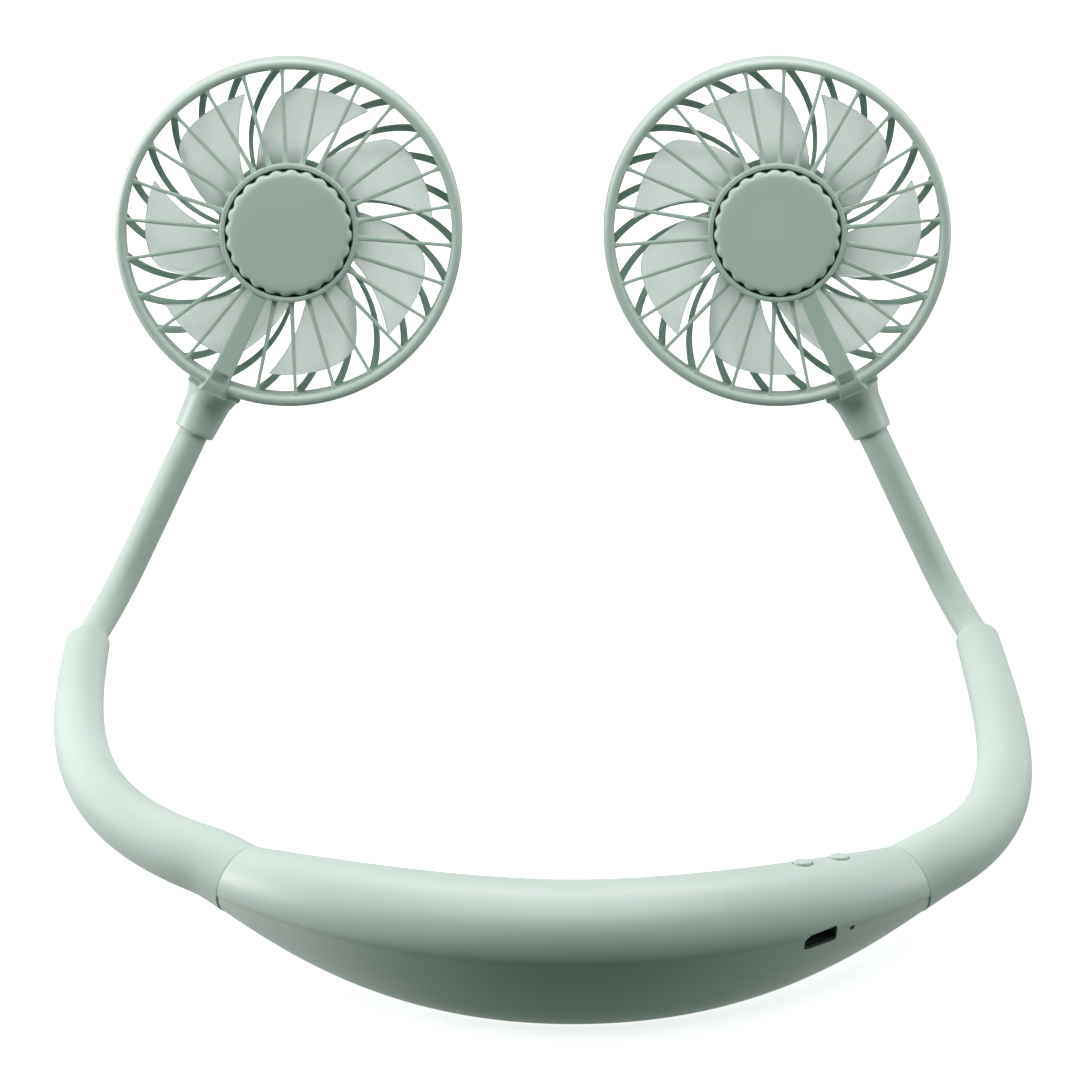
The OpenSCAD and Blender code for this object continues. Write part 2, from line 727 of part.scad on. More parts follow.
module main_board() {
    chip = board_w / 3;
    color(board_green) at_angle(socket_angle) difference() {
        union() {
            middle_box([board_l, board_w, board_t], [0, 0, board_top_z - board_t / 2]);
            middle_box([chip, chip, 2 * board_t], [chip / 2, board_w / 2 - chip, board_top_z]);
        }
        for (x = [-board_l / 3, board_l / 3]) translate([x, board_peg_out, 0])
            rod(board_bottom_z - overrun, board_top_z + overrun, board_peg_r + seat_gap);
    }
}

// The socket stands on the board with its mouth in the housing's cut-out
module usb_socket() {
    tongue_h = socket_h / 4;
    socket_mid_y = socket_l / 2 - socket_out - socket_room;
    color(port_black) at_angle(socket_angle) translate([0, socket_mid_y, socket_z])
        union() {
            difference() {
                cube([socket_w, socket_l, socket_h], center = true);
                translate([0, -socket_sheet, 0])
                    cube([socket_w - 2 * socket_sheet, socket_l, socket_h - 2 * socket_sheet], center = true);
            }
            translate([0, socket_sheet, 0])
                cube([socket_w / 2, socket_l - 2 * socket_sheet, tongue_h], center = true);
        }
}
module charge_led() {
    led_face = half_w(share_of(led_angle)) - parting_step - seat_gap;
    color("white") at_angle(led_angle) translate([0, -board_w / 3, led_z]) rotate([90, 0, 0])
        cylinder(h = led_face - board_w / 3, r = led_r);
}

module button_board() {
    color(board_green) at_button()
        middle_box([button_board_l, button_board_w, board_t], [0, 0, button_board_top - board_t / 2]);
}
module button_switches() {
    color(steel_grey) at_button() for (x = [-button_pitch / 2, button_pitch / 2]) translate([x, 0, 0]) {
        middle_box([switch_side, switch_side, switch_h], [0, 0, button_board_top + switch_h / 2]);
        rod(switch_top, plunger_top, button_r / 2);
    }
}
module fan_button(side) {
    color(light_mint) at_button() translate([side * button_pitch / 2, 0, 0]) {
        rod(flange_top, button_proud, button_r);
        rod(flange_top - flange_h, flange_top, flange_r);
    }
}

// The short stub of sleeve between the housing and the flexing point, with its round end
module sleeve_root(side) {
    color(light_mint) at_seam(side) difference() {
        union() {
            translate([0, 0, seat_gap])
                cylinder(h = root_len - seat_gap, r1 = housing_end_r, r2 = tube_root_r - seat_gap);
            translate([0, 0, root_len]) sphere(r = tube_root_r - seat_gap);
        }
        rod(-overrun, root_len / 2 + seat_gap, root_bore_r);
    }
}
// The stub's core passes the housing's end wall and is held behind it by a flange
module core_root(side) {
    inside = housing_end_wall * 1.2 + flex_gap;
    color(deep_mint) at_seam(side) {
        rod(-inside, root_len / 2, root_core_r);
        rod(-inside - housing_end_wall / 2, -inside, root_core_r + housing_wall / 2);
    }
}

module neck_sleeve(side) {
    c = tube_controls(side);
    color(light_mint) difference() {
        hollow_sweep(
            [for (t = tube_stations) ring(on_curve(c, t), curve_dir(c, t), tube_r(t), tube_sides)],
            [for (t = tube_stations) ring(on_curve(c, t), curve_dir(c, t), neck_bore_r, tube_sides)],
            tube_sides
        );
        translate(flex_at(side)) sphere(r = tube_root_r - seat_gap + flex_gap);
    }
}
module neck_core(side) {
    c = tube_controls(side);
    first = (tube_root_r + 2 * flex_gap) / (3 * start_pull(side));
    past = (tip_seat + flex_gap) / (3 * end_pull);
    color(deep_mint) solid_sweep(
        [for (i = [0:tube_rings]) let (t = mix(first, 1 - past, i / tube_rings))
            ring(on_curve(c, t), curve_dir(c, t), neck_core_r, core_sides)],
        core_sides
    );
}

// An arm's lower part is a bend with a round ball at both ends
module at_bend(side) {
    centre = tip_at(left) + arm_bend_r * arm_rise;
    on_side(side) multmatrix(frame(centre, -arm_rise, arm_dir, cross(-arm_rise, arm_dir))) children();
}
module arm_lower_sleeve(side) {
    color(light_mint) difference() {
        union() {
            at_bend(side) rotate_extrude(angle = arm_bend) translate([arm_bend_r, 0]) difference() {
                circle(r = arm_r);
                circle(r = arm_bore_r);
            }
            on_side(side) {
                translate(tip_at(left)) sphere(r = ball_r);
                translate(arm_knee) sphere(r = ball_r);
            }
        }
        // The wires' way through both balls
        at_bend(side) for (turn = [0, arm_bend]) rotate([0, 0, turn])
            translate([arm_bend_r, 0, 0]) rotate([-90, 0, 0])
                cylinder(h = 3 * ball_r, r = pin_bore_r, center = true);
    }
}
module arm_lower_core(side) {
    color(steel_grey) at_bend(side) rotate([0, 0, ball_angle])
        rotate_extrude(angle = arm_bend - 2 * ball_angle) translate([arm_bend_r, 0]) circle(r = arm_core_r);
}

module arm_upper_sleeve(side) {
    color(light_mint) at_stem(side) difference() {
        round_tube(sleeve_end, knee_far, arm_r, arm_bore_r);
        translate([0, 0, knee_far]) sphere(r = ball_r + flex_gap);
    }
}
pin_plug_len = 2 * arm_core_r;
module arm_upper_core(side) {
    color(steel_grey) at_stem(side)
        rod(sleeve_end + pin_plug_len + seat_gap, knee_far - ball_r - 2 * flex_gap, arm_core_r);
}

// Distances along the stem from the fan's middle
clip_pocket_end = stem_end - 2 * stem_r * 0.75;
clip_at = clip_pocket_end - seat_gap - clip_t;
clip_groove_r = pin_r - clip_t * 0.8;
pin_top = clip_at - 2 * clip_t;
module swivel_pin(side) {
    color(steel_grey) at_stem(side) difference() {
        union() {
            rod(sleeve_end - seat_gap, sleeve_end + pin_plug_len, arm_core_r);
            rod(stem_end + seat_gap / 2, sleeve_end, arm_r - flex_gap);
            rod(pin_top, sleeve_end, pin_r);
        }
        round_tube(clip_at - seat_gap / 2, clip_at + clip_t + seat_gap / 2, pin_r + overrun, clip_groove_r);
        rod(pin_top - overrun, sleeve_end + pin_plug_len + overrun, pin_bore_r);
    }
}
module swivel_clip(side) {
    color(steel_grey) at_stem(side) difference() {
        round_tube(clip_at, clip_at + clip_t, clip_r, clip_groove_r + seat_gap / 2);
        middle_box([clip_groove_r, 2 * clip_r, 3 * clip_t], [0, clip_r, clip_at]);
    }
}

// The socket that carries the head: a collar for the pin and a saddle round the rim
module stem_socket(side) {
    saddle_r = rim_r + seat_gap / 2;
    color(light_mint) difference() {
        union() {
            at_stem(side) {
                translate([0, 0, rim_r]) cylinder(h = stem_len, r1 = stem_r, r2 = stem_end_r);
            }
            at_duct(side) rotate([0, 0, -saddle_span / 2]) rotate_extrude(angle = saddle_span)
                translate([rim_inner_r, -saddle_w / 2]) square([rim_wall + saddle_t, saddle_w]);
        }
        at_duct(side) rod(-guard_depth, guard_depth, saddle_r);
        at_stem(side) {
            rod(rim_r - overrun, clip_pocket_end, clip_r + seat_gap);
            rod(rim_r, stem_end + overrun, pin_r + pin_clearance);
        }
    }
}

// A spoke's section: square behind, round in front
module spoke_outline() {
    union() {
        translate([-spoke_w / 2, 0]) square([spoke_w, spoke_depth - spoke_w / 2]);
        translate([0, spoke_depth - spoke_w / 2]) circle(d = spoke_w);
    }
}
module duct_body(grow, z0, z1, far) {
    near = hub_ring_r - hub_ring_wall / 2;
    translate([0, 0, z0]) linear_extrude(height = z1 - z0) polygon([
        [near, -duct_hub_w / 2 - grow],
        [far, -duct_rim_w / 2 - grow],
        [far, duct_rim_w / 2 + grow],
        [near, duct_hub_w / 2 + grow]
    ]);
}
module intake_guard(side) {
    spoke_pitch = 360 / spoke_count;
    spoke_start = hub_ring_r - hub_ring_wall / 2;
    foot_in = rim_inner_r - duct_way - duct_wall;
    color(mid_mint) at_duct(side) difference() {
        union() {
            rotate_extrude() {
                translate([rim_inner_r, 0]) square([rim_wall, guard_depth - rim_wall / 2]);
                translate([rim_r - rim_wall / 2, guard_depth - rim_wall / 2]) circle(d = rim_wall);
                translate([hub_ring_r - hub_ring_wall, plate_bottom])
                    square([hub_ring_wall, hub_ring_top - plate_bottom]);
            }
            rod(plate_bottom, plate_top, hub_ring_r - hub_ring_wall / 2);
            for (i = [1:spoke_count - 1]) rotate([0, 0, i * spoke_pitch])
                translate([spoke_start, 0, spoke_top - spoke_depth]) rotate([90, 0, 90])
                    linear_extrude(height = rim_inner_r + rim_wall / 3 - spoke_start) spoke_outline();
            duct_body(0, duct_bottom, duct_top, rim_inner_r + rim_wall / 3);
            translate([foot_in, -duct_rim_w / 2, 0])
                cube([rim_inner_r + rim_wall / 3 - foot_in, duct_rim_w, duct_top - rim_wall / 5]);
        }
        // The lip of the other guard fits in a rebate
        translate([0, 0, -overrun])
            cylinder(h = overrun + rim_wall + seat_gap, r = rim_inner_r + rim_lip + seat_gap / 2);
        // The lead's way: up inside the rim, along the duct and through the hub ring
        translate([foot_in + duct_wall, -duct_way / 2, -overrun])
            cube([duct_way, duct_way, lead_z + lead_r + seat_gap + overrun]);
        translate([cap_r, -duct_way / 2, lead_z - duct_way / 2])
            cube([foot_in + duct_wall + duct_way / 2 - cap_r, duct_way, duct_way]);
        translate([0, 0, plate_bottom - overrun])
            cylinder(h = motor_plate_t + 2 * overrun, r = plate_window_r);
        for (turn = [90, 270]) rotate([0, 0, turn]) translate([motor_screw_far, 0, 0])
            rod(plate_bottom - overrun, plate_top + overrun, motor_screw_r + seat_gap);
        rotate([0, 90, 0]) cylinder(h = rim_r + overrun, r = duct_way / 2);
    }
}

// A vane follows an arc that leaves the hub almost straight and turns towards the rim
vane_start_r = vane_hub_r - vane_t / 2;
vane_end_r = rim_inner_r + rim_wall / 3;
vane_chord = [
    vane_end_r * cos(vane_sweep) - vane_start_r,
    -vane_end_r * sin(vane_sweep)
];
vane_chord_turn = -atan2(vane_chord[1], vane_chord[0]);
vane_bend = 2 * (vane_chord_turn - vane_start_turn);
vane_arc_r = norm(vane_chord) / (2 * sin(vane_bend / 2));
vane_inset = vane_t / 4;
module vane() {
    translate([vane_start_r, 0, 0]) rotate([0, 0, -vane_start_turn]) translate([0, -vane_arc_r, 0])
        rotate([0, 0, 90 - vane_bend]) rotate_extrude(angle = vane_bend)
            translate([vane_arc_r - vane_t / 2, vane_inset - guard_depth])
                square([vane_t, vane_depth - 2 * vane_inset]);
}
module outlet_guard(side) {
    color(deep_mint) at_duct(side) difference() {
        union() {
            rotate_extrude() {
                translate([rim_inner_r, rim_wall / 2 - guard_depth])
                    square([rim_wall, guard_depth - rim_wall / 2]);
                translate([rim_r - rim_wall / 2, rim_wall / 2 - guard_depth]) circle(d = rim_wall);
                translate([rim_inner_r, -overrun]) square([rim_lip, rim_wall + overrun]);
                translate([0, -guard_depth]) square([vane_hub_r, vane_hub_t]);
                translate([vane_hub_r - vane_t, -guard_depth]) square([vane_t, vane_depth]);
            }
            for (i = [0:vane_count - 1]) rotate([0, 0, i * 360 / vane_count]) vane();
        }
        rotate([0, 90, 0]) cylinder(h = rim_r + overrun, r = duct_way / 2);
        translate([rim_inner_r - overrun, -duct_rim_w / 2 - seat_gap, 0])
            cube([rim_lip + 2 * overrun, duct_rim_w + 2 * seat_gap, rim_wall + overrun]);
    }
}

module motor_cap(side) {
    crest_r = cap_crest_h * 2.4;
    valley_r = cap_r - cap_crest_h;
    edge_r = cap_wall * 0.75;
    inside_r = valley_r - 1.5 * cap_wall;
    color(cap_green) at_duct(side) difference() {
        union() {
            rod(plate_top, hub_ring_top - edge_r / 2, valley_r);
            for (i = [0:cap_crest_count - 1]) rotate([0, 0, (i + 0.5) * 360 / cap_crest_count])
                translate([cap_r - crest_r, 0, 0]) rod(plate_top, hub_ring_top - edge_r, crest_r);
            rotate_extrude() {
                square([valley_r - edge_r, cap_top]);
                square([valley_r, cap_top - edge_r]);
                translate([valley_r - edge_r, cap_top - edge_r]) circle(r = edge_r);
            }
        }
        rod(-overrun, cap_top - cap_wall, inside_r);
        rod(-overrun, plate_top, cap_r + overrun);
        translate([0, -duct_way / 2, plate_top - overrun])
            cube([cap_r + overrun, duct_way, duct_way + overrun]);
    }
}

module motor(side) {
    color(steel_grey) at_duct(side) difference() {
        rotate_extrude() {
            translate([0, motor_bottom]) square([motor_r - cap_wall, motor_len]);
            translate([0, motor_bottom + cap_wall]) square([motor_r, motor_len - cap_wall]);
            translate([motor_r - cap_wall, motor_bottom + cap_wall]) circle(r = cap_wall);
        }
        rod(motor_bottom - overrun, motor_bottom + bush_len / 2, bush_r);
        rod(motor_bottom, plate_bottom - 2 * motor_plate_t, shaft_r + 2 * seat_gap);
        for (turn = [90, 270]) rotate([0, 0, turn]) translate([motor_screw_far, 0, 0])
            rod(plate_bottom - 2.5 * motor_plate_t, plate_bottom + overrun, motor_screw_r + seat_gap / 2);
    }
}
module motor_screws(side) {
    color(steel_grey) at_duct(side) for (turn = [90, 270])
        rotate([0, 0, turn]) translate([motor_screw_far, 0, 0]) {
            rod(plate_top, plate_top + screw_head_h * 0.8, screw_head_r * 0.8);
            rod(plate_bottom - 2 * motor_plate_t, plate_top, motor_screw_r);
        }
}
// The lead comes out of the pin, climbs inside the rim and follows the duct to the motor
module motor_lead(side) {
    climb_far = rim_inner_r - duct_way / 2;
    color(port_black) at_duct(side) {
        translate([climb_far, 0, 0]) rotate([0, 90, 0]) cylinder(h = pin_top - climb_far, r = lead_r);
        translate([climb_far, 0, 0]) sphere(r = lead_r);
        translate([climb_far, 0, 0]) rod(0, lead_z, lead_r);
        translate([climb_far, 0, lead_z]) sphere(r = lead_r);
        translate([lead_end_far, 0, lead_z]) rotate([0, 90, 0])
            cylinder(h = climb_far - lead_end_far, r = lead_r);
        translate([lead_end_far, 0, lead_z]) sphere(r = lead_r);
        translate([lead_end_far, 0, 0]) rod(plate_bottom, lead_z, lead_r);
    }
}
module shaft_bush(side) {
    color("#b08a4a") at_duct(side)
        round_tube(bush_bottom, motor_bottom + bush_len / 2, bush_r, shaft_r + shaft_clearance);
}
module motor_shaft(side) {
    color(steel_grey) at_duct(side)
        rod(impeller_bottom + impeller_hub_wall / 4, plate_bottom - 3 * motor_plate_t, shaft_r);
}

// A blade is a curved sheet: across runs from its rear edge to its leading edge, out to its tip
blade_root_r = impeller_hub_r - impeller_hub_wall / 2;
blade_mid_z = mix(impeller_bottom, impeller_top, 0.5);
blade_rows = 5;
blade_columns = 6;
// The tip draws in at its rear corner by the first share, the more suddenly the higher the second
tip_round_shares = [0.075, 7];
blade_camber_share = 0.12;
// A power under 1 gives a blade more sweep beside the hub than at its tip
blade_sweep_share = 0.78;
function blade_point(out, across, lift) =
    let (
        edge = 2 * across - 1,
        tip = blade_tip_r * (1 - tip_round_shares[0] * pow(1 - across, tip_round_shares[1])),
        r = mix(blade_root_r, tip, out),
        span = mix(blade_root_span, blade_tip_span, out),
        turn = blade_lead * pow(out, blade_sweep_share) + edge * span / 2,
        rise = mix(blade_root_rise, blade_tip_rise, out) - blade_t,
        z = blade_mid_z + rise * (edge / 2 + blade_camber_share * (1 - edge * edge)) + lift
    )
    [r * cos(turn), -r * sin(turn), z];
module blade() {
    size = blade_columns + 1;
    front = [for (i = [0:blade_rows]) for (j = [0:blade_columns])
        blade_point(i / blade_rows, j / blade_columns, blade_t / 2)];
    back = [for (i = [0:blade_rows]) for (j = [0:blade_columns])
        blade_point(i / blade_rows, j / blade_columns, -blade_t / 2)];
    half = len(front);
    sheet = [for (i = [0:blade_rows - 1]) for (j = [0:blade_columns - 1])
        [i * size + j, i * size + j + 1, (i + 1) * size + j + 1, (i + 1) * size + j]];
    front_faces = flat_list([for (q = sheet) loop_quad(q[3], q[2], q[1], q[0])]);
    back_faces = flat_list([for (q = sheet) loop_quad(q[0] + half, q[1] + half, q[2] + half, q[3] + half)]);
    outline = concat(
        [for (j = [0:blade_columns - 1]) j],
        [for (i = [0:blade_rows - 1]) i * size + blade_columns],
        [for (j = [blade_columns:-1:1]) blade_rows * size + j],
        [for (i = [blade_rows:-1:1]) i * size]
    );
    rim_faces = flat_list([
        for (k = [0:len(outline) - 1])
            let (a = outline[k], b = outline[(k + 1) % len(outline)])
            loop_quad(a, b, b + half, a + half)
    ]);
    polyhedron(concat(front, back), concat(front_faces, back_faces, rim_faces));
}
module impeller(side) {
    inside_r = impeller_hub_r - impeller_hub_wall;
    floor_z = impeller_bottom + impeller_hub_wall;
    color(blade_grey) at_duct(side) difference() {
        union() {
            round_tube(impeller_bottom, impeller_top, impeller_hub_r, inside_r);
            rod(impeller_bottom, floor_z, impeller_hub_r - impeller_hub_wall / 2);
            rod(impeller_bottom, bush_bottom - 2 * seat_gap, bush_r);
            for (i = [0:blade_count - 1]) rotate([0, 0, blade_rest_turn + i * 360 / blade_count]) blade();
        }
        rod(impeller_bottom + impeller_hub_wall / 4, impeller_top, shaft_r);
    }
}

housing_upper_shell();
housing_lower_shell();
housing_screws();
battery_cell();
battery_pad();
main_board();
usb_socket();
charge_led();
button_board();
button_switches();
fan_button(left);  // left_fan_button
fan_button(right);  // right_fan_button
sleeve_root(left);  // left_sleeve_root
sleeve_root(right);  // right_sleeve_root
core_root(left);  // left_core_root
core_root(right);  // right_core_root
neck_sleeve(left);  // left_neck_sleeve
neck_sleeve(right);  // right_neck_sleeve
neck_core(left);  // left_neck_core
neck_core(right);  // right_neck_core
arm_lower_sleeve(left);  // left_arm_lower_sleeve
arm_lower_sleeve(right);  // right_arm_lower_sleeve
arm_lower_core(left);  // left_arm_lower_core
arm_lower_core(right);  // right_arm_lower_core
arm_upper_sleeve(left);  // left_arm_upper_sleeve
arm_upper_sleeve(right);  // right_arm_upper_sleeve
arm_upper_core(left);  // left_arm_upper_core
arm_upper_core(right);  // right_arm_upper_core
swivel_pin(left);  // left_swivel_pin
swivel_pin(right);  // right_swivel_pin
swivel_clip(left);  // left_swivel_clip
swivel_clip(right);  // right_swivel_clip
stem_socket(left);  // left_stem_socket
stem_socket(right);  // right_stem_socket
intake_guard(left);  // left_intake_guard
intake_guard(right);  // right_intake_guard
outlet_guard(left);  // left_outlet_guard
outlet_guard(right);  // right_outlet_guard
motor_cap(left);  // left_motor_cap
motor_cap(right);  // right_motor_cap
motor(left);  // left_motor
motor(right);  // right_motor
motor_screws(left);  // left_motor_screws
motor_screws(right);  // right_motor_screws
motor_lead(left);  // left_motor_lead
motor_lead(right);  // right_motor_lead
shaft_bush(left);  // left_shaft_bush
shaft_bush(right);  // right_shaft_bush
impeller(left);  // left_impeller
impeller(right);  // right_impeller
motor_shaft(left);  // left_motor_shaft
motor_shaft(right);  // right_motor_shaft
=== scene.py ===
# %% [markdown]
# # A neck fan in mint plastic
# The real thing is a battery housing of moulded ABS that lies behind the neck, two soft
# silicone tubes, and two thin arms that each hold a caged fan. The CAD model fixes every
# size and every joint. This lesson dresses it: smooth shells over the faceted ones, soft
# skins swept over the joints, rounded cages and blades, and a finish for each piece.

# %% Load the fixed frame
import bpy
import bmesh
from math import sin, cos, pi, radians, degrees, sqrt, acos, atan2
from mathutils import Matrix, Vector


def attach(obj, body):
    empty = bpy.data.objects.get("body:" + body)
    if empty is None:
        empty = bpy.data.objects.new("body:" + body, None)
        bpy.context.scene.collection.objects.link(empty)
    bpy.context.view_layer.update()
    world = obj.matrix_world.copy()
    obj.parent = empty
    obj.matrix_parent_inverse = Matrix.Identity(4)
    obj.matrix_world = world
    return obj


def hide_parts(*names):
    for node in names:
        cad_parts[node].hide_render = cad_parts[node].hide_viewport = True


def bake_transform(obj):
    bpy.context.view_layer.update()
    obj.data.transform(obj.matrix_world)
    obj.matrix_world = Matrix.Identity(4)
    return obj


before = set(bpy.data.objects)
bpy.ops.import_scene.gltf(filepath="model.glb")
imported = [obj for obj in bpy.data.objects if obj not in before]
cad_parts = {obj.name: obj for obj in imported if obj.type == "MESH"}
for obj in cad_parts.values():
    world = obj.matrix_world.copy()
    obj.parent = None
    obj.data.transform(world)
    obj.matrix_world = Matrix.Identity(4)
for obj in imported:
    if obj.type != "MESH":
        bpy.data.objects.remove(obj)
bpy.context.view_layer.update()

# %% [markdown]
# ## Camera
# The photograph was taken with a long lens that looks down at about 40 degrees, square on to
# the housing. A camera that stands far away with a very long lens draws the two fans without
# perspective, as there. It comes first, so every later step can be judged in the right frame.

# %% Camera
MM = 0.001
VIEW_DOWN = radians(40)
VIEW_WIDTH = 0.2475
VIEW_FAR = 8.0
LOOK_AT = Vector((-7.6, 110, 46.4)) * MM


def linked(name, data):
    """Links a new object with its data to the scene, at the origin."""
    made = bpy.data.objects.new(name, data)
    bpy.context.scene.collection.objects.link(made)
    return made


def aimed(name, data, at, towards):
    """Links a camera or a lamp that stands at a place and looks in a direction."""
    made = linked(name, data)
    made.location = at
    made.rotation_mode = "QUATERNION"
    made.rotation_quaternion = towards.to_track_quat("-Z", "Y")
    return made


camera_data = bpy.data.cameras.new("studio_camera")
camera_data.sensor_width = 36
camera_data.lens = camera_data.sensor_width * VIEW_FAR / VIEW_WIDTH
camera_data.clip_end = 50
towards_camera = Vector((0, -cos(VIEW_DOWN), sin(VIEW_DOWN)))
camera = aimed("studio_camera", camera_data, LOOK_AT + VIEW_FAR * towards_camera,
               -towards_camera)
bpy.context.scene.camera = camera
print("camera", [round(v, 2) for v in camera.location], "lens", round(camera_data.lens))

# %% [markdown]
# ## Small helpers
# Shapes are worked out in millimetres, in a frame that suits the piece, such as the fan's
# own axis. One function then puts the shape where it belongs, turns it to metres, makes the
# faces point outwards and marks the real edges, so a piece's object stays at the origin.

# %% Helpers for pieces
WELD = 1e-5


def crisp(piece, sharp):
    """Shades a piece smooth, but for the edges that turn by more than an angle."""
    piece.data.shade_smooth()
    piece.data.set_sharp_from_angle(angle=radians(sharp))


def new_piece(name, bm, place=Matrix(), sharp=32):
    """Makes an object of a shape in millimetres, with its faces turned outwards."""
    bmesh.ops.remove_doubles(bm, verts=bm.verts, dist=WELD)
    bmesh.ops.transform(bm, matrix=Matrix.Scale(MM, 4) @ place, verts=bm.verts)
    bmesh.ops.recalc_face_normals(bm, faces=bm.faces)
    mesh = bpy.data.meshes.new(name)
    bm.to_mesh(mesh)
    bm.free()
    piece = linked(name, mesh)
    crisp(piece, sharp)
    return piece


def dress(piece, body, material, slot, *nodes):
    """Gives a piece its finish, and lets it ride on a body in place of its CAD nodes."""
    piece.data.materials.append(material)
    if body:
        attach(piece, body)
    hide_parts(*nodes)
    print(piece.name, "has", len(piece.data.polygons), "faces and stands for", nodes)


print("a millimetre is", MM, "m, and points nearer than", WELD, "are one")

# %% Helpers for cuts
def modify(piece, kind, **settings):
    """Bakes one modifier with its settings into a piece's mesh."""
    modifier = piece.modifiers.new(kind.lower(), kind)
    for setting, value in settings.items():
        setattr(modifier, setting, value)
    seen = piece.evaluated_get(bpy.context.evaluated_depsgraph_get())
    mesh = bpy.data.meshes.new_from_object(seen)
    old = piece.data
    piece.modifiers.clear()
    piece.data = mesh
    bpy.data.meshes.remove(old)
    mesh.name = piece.name


def cut_away(piece, shape, operation="DIFFERENCE"):
    """Cuts a shape out of a piece by an exact boolean, or joins it on."""
    cutter = new_piece("cutter", shape)
    modify(piece, "BOOLEAN", operation=operation, solver="EXACT", object=cutter)
    spent = cutter.data
    bpy.data.objects.remove(cutter)
    bpy.data.meshes.remove(spent)


print("cuts and unions are exact booleans")

# %% [markdown]
# Three helpers make most shapes. A lathe spins a chain of points round an axis, as for rims,
# rings and caps. A sheet is a grid whose every point is moved to its place, as for the lofted
# shells and the swept tubes: the grid operator gives the faces, one formula gives the form.
# A loft bridges one outline to the next, as for the spokes, the vanes and the inlet.

# %% Lathe, sheet and loft
def lathe(outline, steps, turn=2 * pi, closed=False):
    """Spins an outline of (radius, height) points round Z."""
    bm = bmesh.new()
    corners = [bm.verts.new((r, 0, z)) for r, z in outline]
    pairs = list(zip(corners, corners[1:])) + ([(corners[-1], corners[0])] if closed else [])
    edges = [bm.edges.new(pair) for pair in pairs]
    full = turn == 2 * pi
    bmesh.ops.spin(bm, geom=corners + edges, axis=(0, 0, 1), cent=(0, 0, 0),
                   angle=turn, steps=steps, use_merge=full)
    bmesh.ops.remove_doubles(bm, verts=bm.verts, dist=WELD)
    if not full:
        fill_ends(bm)
    return bm


def fill_ends(bm):
    """Closes every open end with one face."""
    rims = [edge for edge in bm.edges if edge.is_boundary]
    bmesh.ops.holes_fill(bm, edges=rims, sides=0)


def sheet(columns, rows, place):
    """A grid bent to a form: place(u, v) gives the point for shares from 0 to 1."""
    bm = bmesh.new()
    bmesh.ops.create_grid(bm, x_segments=columns, y_segments=rows, size=0.5)
    for vert in bm.verts:
        vert.co = Vector(place(vert.co.x + 0.5, vert.co.y + 0.5))
    bmesh.ops.remove_doubles(bm, verts=bm.verts, dist=WELD)
    return bm


def loft(bm, rows, closed=False):
    """Bridges rows of points. Closed, the last row joins the first, else the ends are filled."""
    loops = []
    for row in rows:
        verts = [bm.verts.new(point) for point in row]
        loops.append([bm.edges.new(pair) for pair in zip(verts, verts[1:] + verts[:1])])
    pairs = list(zip(loops, loops[1:])) + ([(loops[-1], loops[0])] if closed else [])
    for before, after in pairs:
        bmesh.ops.bridge_loops(bm, edges=before + after)
    if not closed:
        fill_ends(bm)


def merged(*shapes):
    """Puts several shapes into one bmesh."""
    whole = bmesh.new()
    for shape in shapes:
        held = bpy.data.meshes.new("held")
        shape.to_mesh(held)
        shape.free()
        whole.from_mesh(held)
        bpy.data.meshes.remove(held)
    return whole


print("shape helpers", [helper.__name__ for helper in (lathe, sheet, loft, merged)])

# %% Rounded outlines
TINY = 1e-4


def rounded(outline, radius, steps=4, open_ends=False):
    """Rounds the corners of an outline of (a, b) points, closed or with open ends."""
    points = []
    last = len(outline) - 1
    for i, corner in enumerate(outline):
        here = Vector(corner)
        before = Vector(outline[i - 1]) - here
        after = Vector(outline[(i + 1) % (last + 1)]) - here
        half = before.angle(after) / 2
        # Nearly straight corners stay, and two arcs on one side never meet
        room = 0.49 * min(before.length, after.length)
        reach = min(radius / (sin(half) / cos(half)), room) if half < pi / 2 - 10 * TINY else 0
        if reach < TINY or (open_ends and i in (0, last)):
            points.append(tuple(here))
            continue
        start = here + reach * before.normalized()
        end = here + reach * after.normalized()
        for k in range(steps + 1):
            share = k / steps
            points.append(tuple((1 - share) ** 2 * start + 2 * share * (1 - share) * here
                                + share ** 2 * end))
    return points


def rounded_box(a0, b0, a1, b1, radius, steps=4):
    """The outline of a rectangle between two opposite corners, with all four rounded."""
    return rounded([(a0, b0), (a1, b0), (a1, b1), (a0, b1)], radius, steps)


def angles(step, first, last):
    """Angles in radians: a step in degrees times each count from first to last."""
    return [radians(step * k) for k in range(first, last + 1)]


print("a rounded square has", len(rounded_box(-1, -1, 1, 1, 0.2)), "points")

# %% [markdown]
# ## Finishes
# Every finish starts from what the real one is. A mould gives plastic its surface: a fine
# spark-eroded grain on the shells, a smoother one on the cages, a matte skin on silicone.
# Two noises do it. A slow one shifts the tone by a hair, as flow and thickness do, and a fine
# one drives the bump. Patterns read Object coordinates, so they stay on the piece.

# %% Colours and one helper for nodes
def colour(code):
    """Turns an sRGB hex value to the linear colour that a shader socket takes."""
    parts = [int(code[i:i + 2], 16) / 255 for i in (1, 3, 5)]
    linear = [c / 12.92 if c <= 0.04045 else ((c + 0.055) / 1.055) ** 2.4 for c in parts]
    return (*linear, 1)


def add(tree, kind, inputs=None, **settings):
    """Adds one node with its settings. An input is a value, or the socket that feeds it."""
    made = tree.nodes.new("ShaderNode" + kind)
    for name, value in settings.items():
        setattr(made, name, value)
    for key, value in (inputs or {}).items():
        if isinstance(value, bpy.types.NodeSocket):
            tree.links.new(value, made.inputs[key])
        else:
            made.inputs[key].default_value = value
    return made


def per_metre(size_mm):
    """The noise scale whose grains are about this many millimetres across."""
    return 1 / (size_mm * MM)


